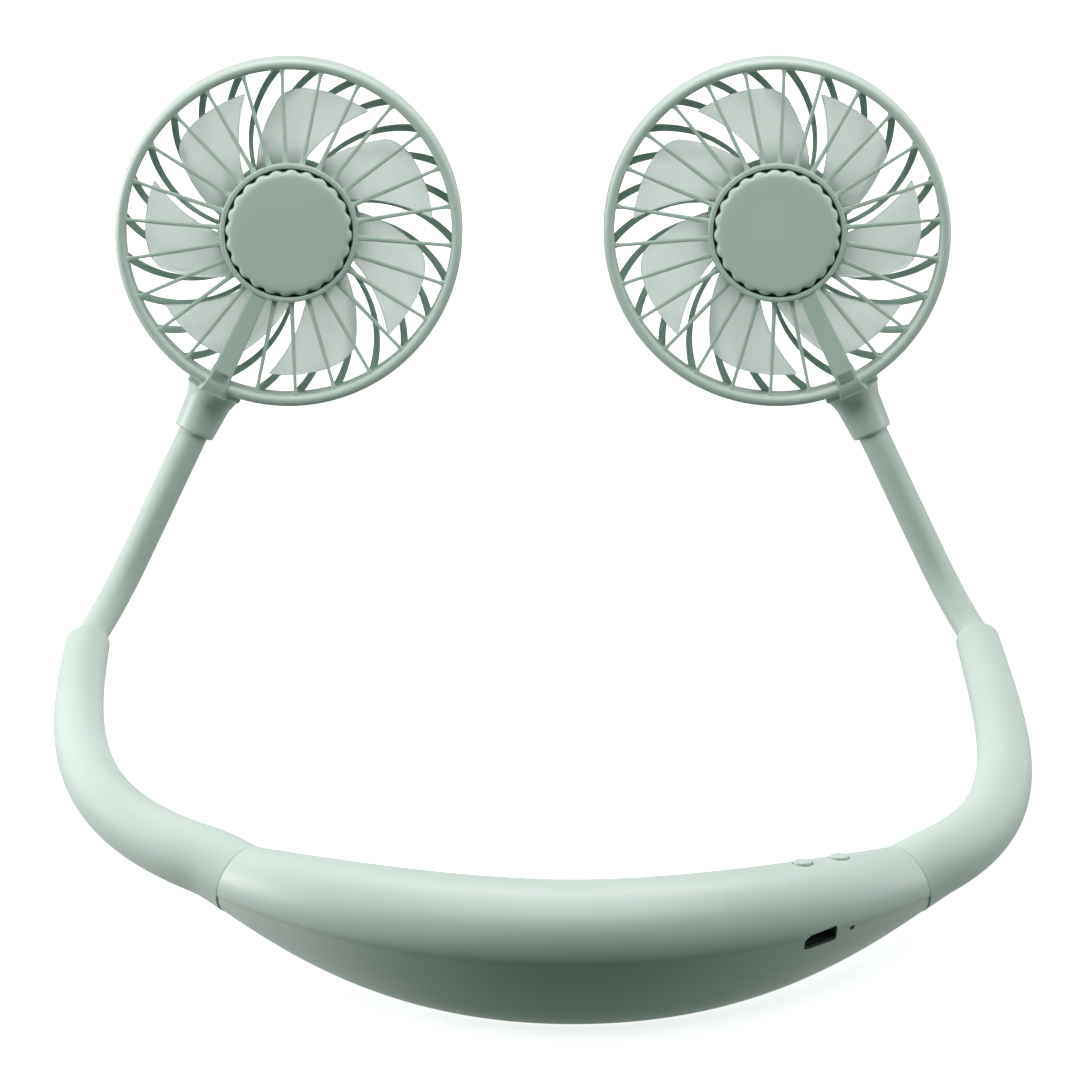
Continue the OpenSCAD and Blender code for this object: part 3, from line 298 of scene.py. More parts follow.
def blank(name):
    """A new material, its empty tree and the Object coordinates that patterns read."""
    material = bpy.data.materials.new(name)
    material.use_nodes = True
    tree = material.node_tree
    tree.nodes.clear()
    return material, tree, add(tree, "TexCoord").outputs["Object"]


def shaded(tree, **inputs):
    """Ends a tree with its shader. Sockets go by their names, with _ for each space."""
    named = {socket.replace("_", " "): value for socket, value in inputs.items()}
    shader = add(tree, "BsdfPrincipled", named)
    add(tree, "OutputMaterial", {"Surface": shader.outputs["BSDF"]})


print("plain mint is", [round(part, 3) for part in colour("#dae6e0")])

# %% Tones and surfaces from noise
def tones_of(tree, noise, low, high, spread=(0, 1)):
    """The colour between two hex tones that a noise picks."""
    ramp = add(tree, "ValToRGB", {"Fac": noise})
    for stop, code, position in zip(ramp.color_ramp.elements, (low, high), spread):
        stop.color, stop.position = colour(code), position
    return ramp.outputs["Color"]


def surface(tree, noise, gloss, swing, relief, strength, depth_mm):
    """Shader inputs: a noise swings the roughness round gloss, and a relief lifts the skin."""
    rough = add(tree, "MapRange", {
        "Value": noise, "From Min": 0.3, "From Max": 0.7,
        "To Min": gloss - swing[0], "To Max": gloss + swing[1]})
    bump = add(tree, "Bump", {
        "Height": relief, "Strength": strength, "Distance": depth_mm * MM})
    return {"Roughness": rough.outputs["Result"], "Normal": bump.outputs["Normal"]}


print("a grain of 0.5 mm has a noise scale of", per_metre(0.5))

# %% [markdown]
# Moulded plastic is one recipe with different numbers. The tone drifts between two close
# colours over centimetres, the gloss drifts with it, and the grain of the mould shows as a
# low bump. Real spark grain is about 0.1 mm, too fine for the picture, so it is drawn coarser.

# %% Moulded plastic
def moulded(name, tone, drift, gloss, grain_mm=0.5, depth_mm=0.01, drift_mm=30, ior=1.53,
            **sockets):
    """Plastic or rubber from a mould: tone and drift are its two colours, gloss its roughness."""
    material, tree, place = blank(name)
    slow, fine = [
        add(tree, "TexNoise", {
            "Vector": place, "Scale": per_metre(size), "Detail": detail}).outputs["Fac"]
        for size, detail in ((drift_mm, 3), (grain_mm, 2))]
    shaded(tree, Base_Color=tones_of(tree, slow, drift, tone, (0.35, 0.65)), IOR=ior, **sockets,
           **surface(tree, slow, gloss, (0.03, 0.04), fine, 0.35, depth_mm))
    return material


print("one recipe for every moulding")

# %% Plastics of the fan
# ABS with a spark-eroded grain: satin, even, a little depth to the colour
satin_abs = moulded("satin_mint_abs", "#dae6e0", "#d5e2db", 0.42, depth_mm=0.012)
# The same ABS on the fans' rims, polished a little in the mould; its tone, a hair lighter than the
# shell's, is painted light
rim_abs_painted_light = moulded("rim_mint_abs_painted_light", "#dce8e2", "#d7e4dd", 0.36, grain_mm=0.7)
# The near cage's spokes and duct: the same mint, made a shade deeper as painted shade
cage_abs_painted_shade = moulded("cage_mint_abs_painted_shade", "#d4e2da", "#cedcd4", 0.42, grain_mm=0.6)
# The far cage's swirl vanes: the same mint, deeper still as painted shade
vane_abs_painted_shade = moulded("vane_mint_abs_painted_shade", "#cadfd4", "#c3dace", 0.45, grain_mm=0.6)
# The snapped-on motor cap, matte from its grain; its tone, a hair deeper than the shell's, is
# painted shade
cap_abs_painted_shade = moulded("cap_mint_abs_painted_shade", "#d8e4de", "#d2dfd8", 0.5, grain_mm=0.4, depth_mm=0.015)
# Liquid silicone rubber: matte, soft, with a skin that glows a little at grazing angles
silicone = moulded("mint_silicone", "#dae6e0", "#d5e2db", 0.55, grain_mm=0.8, drift_mm=22,
                   ior=1.41, Sheen_Weight=0.12, Sheen_Roughness=0.4)
# Polypropylene, thin enough to let some light through
blade_pp = moulded("grey_polypropylene", "#e7ecea", "#e1e6e4", 0.7, grain_mm=1.2, ior=1.35,
                   Transmission_Weight=0.75)
# Black PBT of the charging inlet's bezel and tongue, shared by its blackened shell
port_pbt = moulded("black_pbt", "#3a483e", "#323e36", 0.65, grain_mm=0.4)
# PVC insulation of the leads
lead_pvc = moulded("black_pvc", "#1b1e1c", "#141715", 0.45, grain_mm=0.6)
# Closed-cell foam with pores of about half a millimetre
cell_foam = moulded("grey_foam", "#4a4f4c", "#3d423f", 0.9, grain_mm=0.6, depth_mm=0.2)
print("plastics", [m.name for m in bpy.data.materials if m.node_tree])

# %% [markdown]
# Metals and the bought-in parts get their own recipes. Drawn and plated metal has streaks
# along its drawing direction, so the noise is stretched along one axis. A circuit board is
# solder mask over copper, so a cell pattern lifts its tracks.

# %% Metals
def metal(name, tone, gloss, streak_mm=(0.4, 0.4, 6), depth_mm=0.004):
    """Plated, drawn or sintered metal: streak_mm is the grain's size along X, Y and Z."""
    material, tree, place = blank(name)
    stretch = add(tree, "Mapping", {
        "Vector": place, "Scale": [per_metre(size) for size in streak_mm]})
    grain = add(tree, "TexNoise", {
        "Vector": stretch.outputs["Vector"], "Scale": 1, "Detail": 3}).outputs["Fac"]
    shaded(tree, Base_Color=colour(tone), Metallic=1,
           **surface(tree, grain, gloss, (0.05, 0.07), grain, 0.3, depth_mm))
    return material


print("one recipe for every metal")

# %% Metals of the fan
# Nickel-plated steel of pins, clips, shafts and screws: bright, with faint turning marks
plated_steel = metal("nickel_plated_steel", "#b9bcbd", 0.25)
# Wound spring wire of the goosenecks
wire_steel = metal("wound_spring_steel", "#9fa3a4", 0.32, streak_mm=(3, 3, 0.8), depth_mm=0.05)
# Zinc-plated drawn can of the motors
motor_zinc = metal("zinc_plated_can", "#a9acad", 0.35, streak_mm=(0.5, 0.5, 4))
# Sintered bronze: porous, so dull and even
sintered_bronze = metal("sintered_bronze", "#b08a4a", 0.5, streak_mm=(0.4, 0.4, 0.4),
                        depth_mm=0.02)
# Aluminium laminate of the pouch cell, slightly creased
cell_foil = metal("aluminium_laminate", "#b4b8b9", 0.38, streak_mm=(6, 3, 4), depth_mm=0.06)
# Stamped steel case of the push switches
switch_steel = metal("stamped_switch_steel", "#a7abac", 0.3, streak_mm=(5, 0.5, 0.5))
print("metals and foil", len(bpy.data.materials))

# %% Circuit board and light lens
# FR4 board: green solder mask that lies higher over the copper tracks
TRACK_MM, COPPER_MM = 2.2, 0.035
board_mask, tree, place = blank("green_solder_mask")
tracks = add(tree, "TexVoronoi", {"Vector": place, "Scale": per_metre(TRACK_MM)},
             feature="DISTANCE_TO_EDGE", distance="MANHATTAN")
raised = add(tree, "MapRange", {
    "Value": tracks.outputs["Distance"], "From Min": 0.04, "From Max": 0.1,
    "To Min": 0, "To Max": 1}).outputs["Result"]
mask = add(tree, "MixRGB", {
    "Fac": raised, "Color1": colour("#3d8159"), "Color2": colour("#2a6145")})
bump = add(tree, "Bump", {"Height": raised, "Strength": 0.5, "Distance": COPPER_MM * MM})
shaded(tree, Base_Color=mask.outputs["Color"], Normal=bump.outputs["Normal"], Roughness=0.3)

# Polycarbonate light pipe, dark while the light is off
lens_pc = moulded("smoked_polycarbonate", "#2b332e", "#232a26", 0.15, grain_mm=0.8,
                  depth_mm=0.002, ior=1.58)
print("finishes", len(bpy.data.materials))

# %% [markdown]
# ## Sizes that the pieces share
# The script can't read the CAD source, so the sizes it needs stand here once, in millimetres.
# The left arm and head are worked out first and the right ones mirror them, exactly as the
# real moulds do. A head has its own frame: Z along the fan's axis, X towards the stem.

# %% Places of the arms and heads
SIDES = {"left": -1, "right": 1}
TIP_SHIFT, TIP_Y, TIP_Z, HEAD_ROOM = -9.2, 123.4, 5.3, 32.4
ARM_R, ARM_BEND_R, ARM_STRAIGHT = 3.5, 28, 31.8
ARM_START_TURN, HEAD_TILT, STEM_TURN = radians(23.6), radians(37), radians(25.3)
RIM_R, RIM_WALL, GUARD_DEPTH, STEM_LEN = 40, 2.5, 12, 11.5
STEM_END = RIM_R + STEM_LEN
SLEEVE_END = STEM_END + 0.4

arm_dir = Vector((sin(ARM_START_TURN), cos(ARM_START_TURN), 0))
stem_up = Vector((sin(STEM_TURN), cos(STEM_TURN) * sin(HEAD_TILT),
                  cos(STEM_TURN) * cos(HEAD_TILT)))
arm_bend = acos(arm_dir.dot(stem_up))
arm_rise = (stem_up - stem_up.dot(arm_dir) * arm_dir).normalized()
bend_reach = ARM_BEND_R * (sin(arm_bend) * arm_dir + (1 - cos(arm_bend)) * arm_rise)
head_reach = bend_reach + (SLEEVE_END + ARM_STRAIGHT) * stem_up
TIP_SPAN = HEAD_ROOM + 2 * (RIM_R + head_reach.x)
tip = Vector((TIP_SHIFT - TIP_SPAN / 2, TIP_Y, TIP_Z))
knee = tip + bend_reach
head_at = tip + head_reach


def turned(angle, axis):
    return Matrix.Rotation(angle, 4, axis)


def lifted(x, z=0):
    return Matrix.Translation((x, 0, z))


# The left stays as it is and the right is its mirror image
MIRRORS = {
    "left": Matrix(),
    "right": Matrix.Translation((2 * TIP_SHIFT, 0, 0)) @ Matrix.Diagonal((-1, 1, 1, 1)),
}
AT_HEAD = Matrix.Translation(head_at) @ turned(pi / 2 - HEAD_TILT, "X")
AT_DUCT = AT_HEAD @ turned(-pi / 2 - STEM_TURN, "Z")
AT_STEM = AT_HEAD @ turned(-STEM_TURN, "Z") @ turned(pi / 2, "X")
HEADS = {name: mirror @ AT_DUCT for name, mirror in MIRRORS.items()}
print("head at", [round(v, 1) for v in head_at], "bend", round(degrees(arm_bend), 1))

# %% [markdown]
# ## Housing shells
# The housing swells from a round end to a deep keel in the middle. Its section is half an
# ellipse above the crease and, below it, a wall that rolls under into a flat keel. A loft by
# formula gives that form smoothly at any number of stations, where the CAD has flat strips.
# Each shell is a bent sheet with turned-in lips, thickened inwards to a real wall.

# %% Section of the housing
BEND_R, HALF_ANGLE = 112, 42.5
MID_HALF_W, END_R = 12.5, 8.4
TOP_Z, CREASE_Z, END_Z, KEEL_CUT = 34, 22.6, 13, 0.8
WALL, GAP, STEP = 1.8, 0.2, 0.35
LIP_H, LIP_ROLL = 0.45, 0.22
KEEL = [(1, 0), (0.965, 0.14), (0.915, 0.3), (0.85, 0.46), (0.77, 0.62), (0.68, 0.78),
        (0.57, 0.91), (0.44, 0.98), (0, 1)]


def mix(a, b, share):
    return a + (b - a) * share


def belly(angle):
    return 1 - abs(angle / HALF_ANGLE) ** 2.4


def swelling(at_end, at_middle):
    """One size of the section, as a function of the angle along the housing."""
    return lambda angle: mix(at_end, at_middle, belly(angle))


half_w = swelling(END_R, MID_HALF_W)
crease_z = swelling(END_Z, CREASE_Z)
top_z = swelling(END_Z + END_R, TOP_Z)
keel_z = swelling(END_Z - END_R, -KEEL_CUT)


def on_arc(angle, out, z):
    """A point beside the housing's centre line; out is measured away from the neck."""
    a = radians(angle)
    return Vector(((BEND_R + out) * sin(a), BEND_R - (BEND_R + out) * cos(a), z))


def smooth_through(points, share):
    """A point on a smooth curve through evenly counted points."""
    last = len(points) - 1
    at = min(max(share, 0), 1) * last
    i = min(int(at), last - 1)
    t = at - i
    p = [Vector(points[min(max(i + k, 0), last)]) for k in (-1, 0, 1, 2)]
    return 0.5 * ((2 * p[1]) + (p[2] - p[0]) * t + (2 * p[0] - 5 * p[1] + 4 * p[2] - p[3]) * t ** 2
                  + (3 * p[1] - p[0] - 3 * p[2] + p[3]) * t ** 3)


print("middle section", round(2 * half_w(0), 1), "wide by", round(top_z(0), 1), "high")

# %% Points on both shells
def upper_point(angle, v):
    """v runs from the outer lip over the top to the neck side's lip."""
    turn = pi * v
    out = half_w(angle) * cos(turn)
    z = crease_z(angle) + (top_z(angle) - crease_z(angle)) * sin(turn)
    # Close to the crease the wall rolls in by a little, as a moulded edge does
    near = max(0, 1 - (z - crease_z(angle)) / LIP_H)
    return on_arc(angle, out - LIP_ROLL * near ** 2 * (1 if out > 0 else -1), z)


def lower_point(angle, v):
    """v runs from the outer lip under the keel to the neck side's lip."""
    side = 1 if v < 0.5 else -1
    share = 1 - abs(2 * v - 1)
    turn = pi / 2 * share
    keel = smooth_through(KEEL, share)
    across = mix(cos(turn), keel[0], belly(angle))
    down = mix(sin(turn), keel[1], belly(angle))
    top = crease_z(angle) - GAP
    z = top - down * (top - keel_z(angle))
    return on_arc(angle, side * across * (half_w(angle) - STEP), max(z, 0))


print("the keel lies at a height of", round(lower_point(0, 0.5).z, 1))

# %% Shell from a section
BORE_R = 5.0
STATIONS = 112


def shell_sheet(point, bore_turn, rows):
    """A bent sheet along the housing whose ends close in to the bore for the tube's core."""
    def place(u, v):
        column = round(u * (STATIONS + 2))
        angle = HALF_ANGLE * (2 * min(max(column - 1, 0), STATIONS) / STATIONS - 1)
        if 0 < column < STATIONS + 2:
            return point(angle, v)
        turn = bore_turn * pi * v
        drop = 0 if bore_turn > 0 else -GAP
        return on_arc(angle, BORE_R * cos(turn), END_Z + drop + BORE_R * sin(turn))
    return sheet(STATIONS + 2, rows, place)


def thickened(name, bm):
    """Gives a sheet the wall thickness of the moulding, inwards."""
    piece = new_piece(name, bm)
    modify(piece, "SOLIDIFY", thickness=WALL * MM, offset=-1, use_even_offset=True)
    return piece


def rod_between(bm, z0, z1, radius, place=Matrix(), segments=32):
    """Adds a closed rod along Z to a bmesh."""
    at = place @ lifted(0, (z0 + z1) / 2)
    bmesh.ops.create_cone(bm, cap_ends=True, segments=segments, radius1=radius, radius2=radius,
                          depth=z1 - z0, matrix=at)


def at_angle(angle):
    return Matrix.Translation(on_arc(angle, 0, 0)) @ turned(radians(angle), "Z")


upper = thickened("upper_shell", shell_sheet(upper_point, 1, 40))
lower = thickened("lower_shell", shell_sheet(lower_point, -1, 48))
print("upper", len(upper.data.polygons), "lower", len(lower.data.polygons))

# %% [markdown]
# The shells are cut where the inlet, the charge light, the two buttons and the four screw
# wells are. A well is a boss that stands inside the lower shell with the screw's head deep in
# it, so bosses are joined on first and the wells are drilled through both.

# %% Openings in the shells
SOCKET_ANGLE, LED_ANGLE = 27.3, 31.3
BOARD_TOP, SOCKET_H, SOCKET_W = 16.6, 2.8, 7.5
SOCKET_ROOM, SOCKET_ROOM_H, CUT_CORNER, CUT_ROUND = 0.5, 0.9, 1.7, 0.75
SOCKET_Z = BOARD_TOP + SOCKET_H / 2
SOCKET_OUT = half_w(SOCKET_ANGLE) - STEP - WALL
LED_Z, LED_R, LED_GAP, LED_DEPTH = BOARD_TOP + 0.7, 0.6, 0.1, 4.5
SCREW_ANGLES = (-37.6, -17, 17, 37.6)
BOSS_R, WELL_R, SCREW_R, SCREW_FLOOR = 3.3, 2.0, 1.1, 4
BUTTON_ANGLE, BUTTON_TURN, BUTTON_PITCH = 31.4, 112, 9.9
BUTTON_R, BUTTON_PROUD, BUTTON_GAP = 2.2, 0.6, 0.25
CLEAR_OF_SHELL = 20


def shell_point(angle, turn):
    return on_arc(angle, half_w(angle) * cos(radians(turn)),
                  crease_z(angle) + (top_z(angle) - crease_z(angle)) * sin(radians(turn)))


button_at = shell_point(BUTTON_ANGLE, BUTTON_TURN)
button_along = (shell_point(BUTTON_ANGLE + 1, BUTTON_TURN)
                - shell_point(BUTTON_ANGLE - 1, BUTTON_TURN)).normalized()
button_round = (shell_point(BUTTON_ANGLE, BUTTON_TURN + 1)
                - shell_point(BUTTON_ANGLE, BUTTON_TURN - 1))
button_up = button_along.cross(button_round).normalized()
button_back = button_up.cross(button_along)
AT_BUTTONS = Matrix.Translation(button_at) @ Matrix(
    (button_along, button_back, button_up)).transposed().to_4x4()
# Z of these two places points out of the housing's outer side, Y stays up
AT_INLET = at_angle(SOCKET_ANGLE) @ lifted(0, SOCKET_Z) @ turned(pi / 2, "X")
AT_LIGHT = at_angle(LED_ANGLE) @ lifted(0, LED_Z) @ turned(pi / 2, "X")
print("buttons at", [round(v, 1) for v in button_at], "inlet at a height of", SOCKET_Z)

# %% Cut shells
def inlet_outline(wider, higher, cut, corner):
    """The inlet's five-sided mouth: a rectangle with its upper left corner cut."""
    w, h = SOCKET_W / 2 + wider, SOCKET_H / 2 + higher
    return rounded([(-w, -h), (w, -h), (w, h), (cut - w, h), (-w, h - cut)], corner)


def at_depths(*sections, place=Matrix()):
    """Rows of points for a loft: each section is an outline and its depth."""
    return [[place @ Vector((x, y, z)) for x, y in outline] for outline, z in sections]


def openings():
    """The solids that both shells are cut with."""
    bm = bmesh.new()
    hole = inlet_outline(SOCKET_ROOM, SOCKET_ROOM_H, CUT_CORNER, CUT_ROUND)
    loft(bm, at_depths((hole, SOCKET_OUT - 3), (hole, CLEAR_OF_SHELL), place=AT_INLET))
    rod_between(bm, LED_DEPTH, CLEAR_OF_SHELL, LED_R + LED_GAP, AT_LIGHT, 24)
    return bm


bosses = bmesh.new()
for angle in SCREW_ANGLES:
    rod_between(bosses, keel_z(angle) + 0.7 * WALL, crease_z(angle) - GAP - 0.02, BOSS_R,
                at_angle(angle))
cut_away(lower, bosses, "UNION")
drills = openings()
for angle in SCREW_ANGLES:
    seat = crease_z(angle) - GAP - SCREW_FLOOR
    rod_between(drills, -5, seat, WELL_R, at_angle(angle))
    rod_between(drills, seat - 0.5, seat + 2 * SCREW_FLOOR, SCREW_R, at_angle(angle), 16)
cut_away(lower, drills)
holes = openings()
for x in (-BUTTON_PITCH / 2, BUTTON_PITCH / 2):
    rod_between(holes, -6, 4, BUTTON_R + BUTTON_GAP, AT_BUTTONS @ lifted(x), 40)
cut_away(upper, holes)
for shell, node in ((upper, "housing_upper_shell"), (lower, "housing_lower_shell")):
    crisp(shell, 28)
    dress(shell, "root", satin_abs, "shell", node)

# %% [markdown]
# ## Soft tubes and arms
# Each side is one line of silicone from the housing to the fan, but the model has joints in
# it. So the line is swept in three skins: a thick neck tube and two lengths of thin arm. Each
# skin crosses one joint, and they meet where nothing moves. The steel in the arms is swept
# along the same path inside its skin, so it never comes through. A path of dense points
# carries the sweep, smoothed a little, so that no kink shows at a joint.

# %% Paths
def smoothed(points, times):
    """Evens out a path's kinks and keeps both of its ends."""
    for _ in range(times):
        points = [points[0]] + [
            (before + 2 * here + after) / 4
            for before, here, after in zip(points, points[1:], points[2:])
        ] + [points[-1]]
    return points


class Path:
    """A line of points with a distance, a direction and a steady sideways vector at each."""

    def __init__(self, points, side=Vector((0, 0, 1))):
        self.points = points
        self.far = [0]
        for a, b in zip(points, points[1:]):
            self.far.append(self.far[-1] + (b - a).length)
        last = len(points) - 1
        self.along = [(points[min(i + 1, last)] - points[max(i - 1, 0)]).normalized()
                      for i in range(last + 1)]
        self.beside = []
        for direction in self.along:
            side = (side - side.dot(direction) * direction).normalized()
            self.beside.append(side)

    def at(self, distance):
        """The point, direction and sideways vector at a distance."""
        i = max(0, min(len(self.far) - 2, sum(1 for f in self.far if f <= distance) - 1))
        share = (distance - self.far[i]) / (self.far[i + 1] - self.far[i])
        return [mix(row[i], row[i + 1], share) for row in (self.points, self.along, self.beside)]


straight_line = Path([Vector((0, 10 * k, 0)) for k in range(3)])
print("a test path is", straight_line.far[-1], "long")

# %% Swept tubes
def swept(path, rings, sides):
    """Sweeps a circle along a path. Rings are (distance, radius) pairs."""
    frames = [path.at(distance) for distance, _ in rings]

    def place(u, v):
        i = round(u * (len(rings) - 1))
        centre, along, beside = frames[i]
        across = along.cross(beside).normalized()
        turn = 2 * pi * v
        return centre + rings[i][1] * (cos(turn) * beside + sin(turn) * across)
    bm = sheet(len(rings) - 1, sides, place)
    fill_ends(bm)
    return bm


def lip_rings(end, radius, hole, roll, depth=3):
    """Rings that roll a tube's free end over and into the hole that the arm leaves by."""
    rings = [(end - roll * (1 - sin(a)), radius - roll * (1 - cos(a)))
             for a in angles(15, 1, 6)]
    inner = 0.4
    rings += [(end - inner * (1 - cos(a)), hole + inner * (1 - sin(a)))
              for a in angles(22.5, 0, 4)]
    return rings + [(end - depth, hole)]


def even_rings(first, last, radius, count=40):
    """Rings of one radius from a first to a last distance."""
    return [(mix(first, last, k / count), radius) for k in range(count + 1)]


print("a lip has", len(lip_rings(0, 5, 3, 1)), "rings")

# %% Routes of the neck tubes
ROOT_LEN, TUBE_ROOT_R, TUBE_TIP_R, NECK_CORE_R = 8.5, 8, 5.1, 3.1
TIP_SEAT = TUBE_TIP_R - NECK_CORE_R + 0.1
LIP_ROLL_R, LIP_PAST = 1.35, {"left": -0.4, "right": 0.6}
STUB_STEPS, CURVE_STEPS, SKIN_STEPS = 9, 120, 90
# A hair inside the CAD's own skin, which is faceted
NECK_SMOOTHING, NECK_SEGMENTS, INSIDE_CAD = 16, 56, 0.16
START = {"left": (radians(57.4), 38), "right": (radians(47.5), 31)}
END_TURN = {"left": radians(7), "right": radians(10)}
END_PULL = 37


def bezier(c, t):
    return ((1 - t) ** 3 * c[0] + 3 * (1 - t) ** 2 * t * c[1] + 3 * (1 - t) * t * t * c[2]
            + t ** 3 * c[3])


def tube_route(name):
    """The seam at the housing, the flexing point, the tube's controls and its end direction."""
    side = SIDES[name]
    seam = on_arc(side * HALF_ANGLE, 0, END_Z)
    out = side * Vector((cos(side * radians(HALF_ANGLE)), sin(side * radians(HALF_ANGLE)), 0))
    flex = seam + ROOT_LEN * out
    turn, pull = START[name]
    end_dir = Vector((-side * sin(END_TURN[name]), cos(END_TURN[name]), 0))
    end = Vector((TIP_SHIFT + side * TIP_SPAN / 2, TIP_Y, TIP_Z)) - TIP_SEAT * end_dir
    controls = [flex, flex + pull * Vector((side * sin(turn), cos(turn), 0)) - Vector((0, 0, 4)),
                end - END_PULL * end_dir + Vector((0, 0, 0.7)), end]
    return seam, flex, controls, end_dir


print("seam and flexing point", [[round(v, 1) for v in p] for p in tube_route("left")[:2]])

# %% Neck skins
for name in SIDES:
    seam, flex, controls, end_dir = tube_route(name)
    stub = [mix(seam, flex, k / STUB_STEPS) for k in range(STUB_STEPS)]
    curve = [bezier(controls, k / CURVE_STEPS) for k in range(CURVE_STEPS + 1)]
    ahead = [controls[3] + k * end_dir for k in (1, 2, 3, 4)]
    path = Path(smoothed(stub + curve + ahead, NECK_SMOOTHING))
    flex_far = path.far[len(stub)]
    curve_len = path.far[len(stub) + CURVE_STEPS] - flex_far
    lip_at = flex_far + curve_len + TIP_SEAT + LIP_PAST[name]

    def radius_at(distance):
        if distance < flex_far:
            return mix(END_R, TUBE_ROOT_R, distance / flex_far)
        share = min(1, (distance - flex_far) / curve_len)
        return mix(TUBE_ROOT_R, TUBE_TIP_R, share) - INSIDE_CAD * sin(pi * share)

    rings = [(0.05, END_R - 0.35), (0.05, END_R - 0.15), (0.2, END_R - 0.02), (0.5, END_R)]
    rings += [(far, radius_at(far)) for far, _ in even_rings(1, lip_at - 1.7, 0, SKIN_STEPS)]
    rings += lip_rings(lip_at, TUBE_TIP_R, ARM_R + 0.1, LIP_ROLL_R)
    skin = new_piece(name + "_neck_skin", swept(path, rings, NECK_SEGMENTS))
    dress(skin, None, silicone, "silicone", name + "_sleeve_root", name + "_neck_sleeve")
    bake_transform(skin)

# %% Arms
ARM_CORE_R, BEND_STEPS, STRAIGHT_STEPS, ARM_SMOOTHING = 2.3, 24, 30, 12

for name, mirror in MIRRORS.items():
    end_dir = tube_route(name)[3]
    tip_here = mirror @ tip
    turn_dir, rise_dir, stem_dir = [
        (mirror.to_3x3() @ way).normalized() for way in (arm_dir, arm_rise, stem_up)]
    knee_here = mirror @ knee
    inside = [tip_here - k * end_dir for k in (7, 6, 5, 4, 3, 2, 1)]
    bend = [tip_here + ARM_BEND_R * (sin(a) * turn_dir + (1 - cos(a)) * rise_dir)
            for a in [arm_bend * k / BEND_STEPS for k in range(BEND_STEPS + 1)]]
    straight = [knee_here + k * ARM_STRAIGHT / STRAIGHT_STEPS * stem_dir
                for k in range(1, STRAIGHT_STEPS + 2)]
    path = Path(smoothed(inside + bend + straight, ARM_SMOOTHING))
    middle = path.far[len(inside) + BEND_STEPS // 2]
    end = path.far[-1] - ARM_STRAIGHT / STRAIGHT_STEPS
    sleeve_end = even_rings(middle, end + 0.3, ARM_R, 60)[:-1]
    sleeve_end += [(end + 0.28, ARM_R), (end + 0.34, ARM_R - 0.12)]
    # The bendable steel inside is cut at the same place and swept along the same path as the skin
    # round it
    steel_from, steel_to = path.far[len(inside)] + ARM_CORE_R, end - 2.4 * ARM_CORE_R
    lengths = (
        ("skin_low", even_rings(1, middle, ARM_R), 40, silicone, "silicone", "lower_sleeve"),
        ("skin_high", sleeve_end, 40, silicone, "silicone", "upper_sleeve"),
        ("wire_low", even_rings(steel_from, middle, ARM_CORE_R), 20, wire_steel, "steel",
         "lower_core"),
        ("wire_high", even_rings(middle + 0.05, steel_to, ARM_CORE_R), 20, wire_steel, "steel",
         "upper_core"),
    )
    for part, rings, sides, finish, slot, node in lengths:
        piece = new_piece(f"{name}_arm_{part}", swept(path, rings, sides))
        dress(piece, None, finish, slot, f"{name}_arm_{node}")
        if part.endswith("low"):
            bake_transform(piece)
        else:
            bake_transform(piece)

# %% [markdown]
# ## Fan heads
# A head is two cages that meet at the middle of the rim. The near one has thin straight
# spokes and one thick duct for the motor's lead, the far one curved vanes. Rims and rings are
# spun from rounded profiles, since real ones have no sharp edge where fingers go. One spoke
# is lofted with wider feet and then copied round by the spin operator.

# %% Parts of a cage
RIM_IN = RIM_R - RIM_WALL
SADDLE_T = 1.4
SPOKES, SPOKE_W, SPOKE_DEPTH = 26, 1.1, 1.8
SPOKE_TOP = GUARD_DEPTH - RIM_WALL / 4
HUB_RING_R, HUB_RING_WALL, HUB_RING_TOP = 16, 1.2, GUARD_DEPTH + 1
PLATE_TOP, PLATE_BOTTOM = HUB_RING_TOP - 4.6, HUB_RING_TOP - 6.0
DUCT_HUB_W, DUCT_RIM_W = 3.9, 5.0
DUCT_TOP, DUCT_BOTTOM = HUB_RING_TOP - 0.5, PLATE_TOP - 0.8
ROOF_T, ROOF_BEND_R = 1.4, 3.1
CHAMFER, MEETING = 0.18, 0.02


def bar(bm, line, outline):
    """Lofts a bar: line has a (place, width share) for each section."""
    loft(bm, [[place @ Vector((0, y * wide, z)) for y, z in outline] for place, wide in line])


def copied_round(bm, count, pitch):
    """Copies a whole shape round Z: count more times, each turned by the pitch."""
    whole = list(bm.verts) + list(bm.edges) + list(bm.faces)
    bmesh.ops.spin(bm, geom=whole, axis=(0, 0, 1), cent=(0, 0, 0), angle=count * pitch,
                   steps=count, use_duplicate=True)


def rim_outline(lip_foot, lip_w):
    """A rim's section: full round at its face, a small chamfer where the cages meet."""
    r, face = RIM_WALL / 2, GUARD_DEPTH - RIM_WALL / 2
    crown = [(RIM_R - r + r * cos(a), face + r * sin(a)) for a in angles(15, 0, 12)]
    inner = [(RIM_IN, lip_foot), (RIM_IN + lip_w, lip_foot), (RIM_IN + lip_w, MEETING)]
    return inner + [(RIM_R - CHAMFER, MEETING), (RIM_R, CHAMFER)] + crown


print("rim's section has", len(rim_outline(0, 1)), "points")

# %% Near cage with spokes
SPOKE_PITCH = 2 * pi / SPOKES


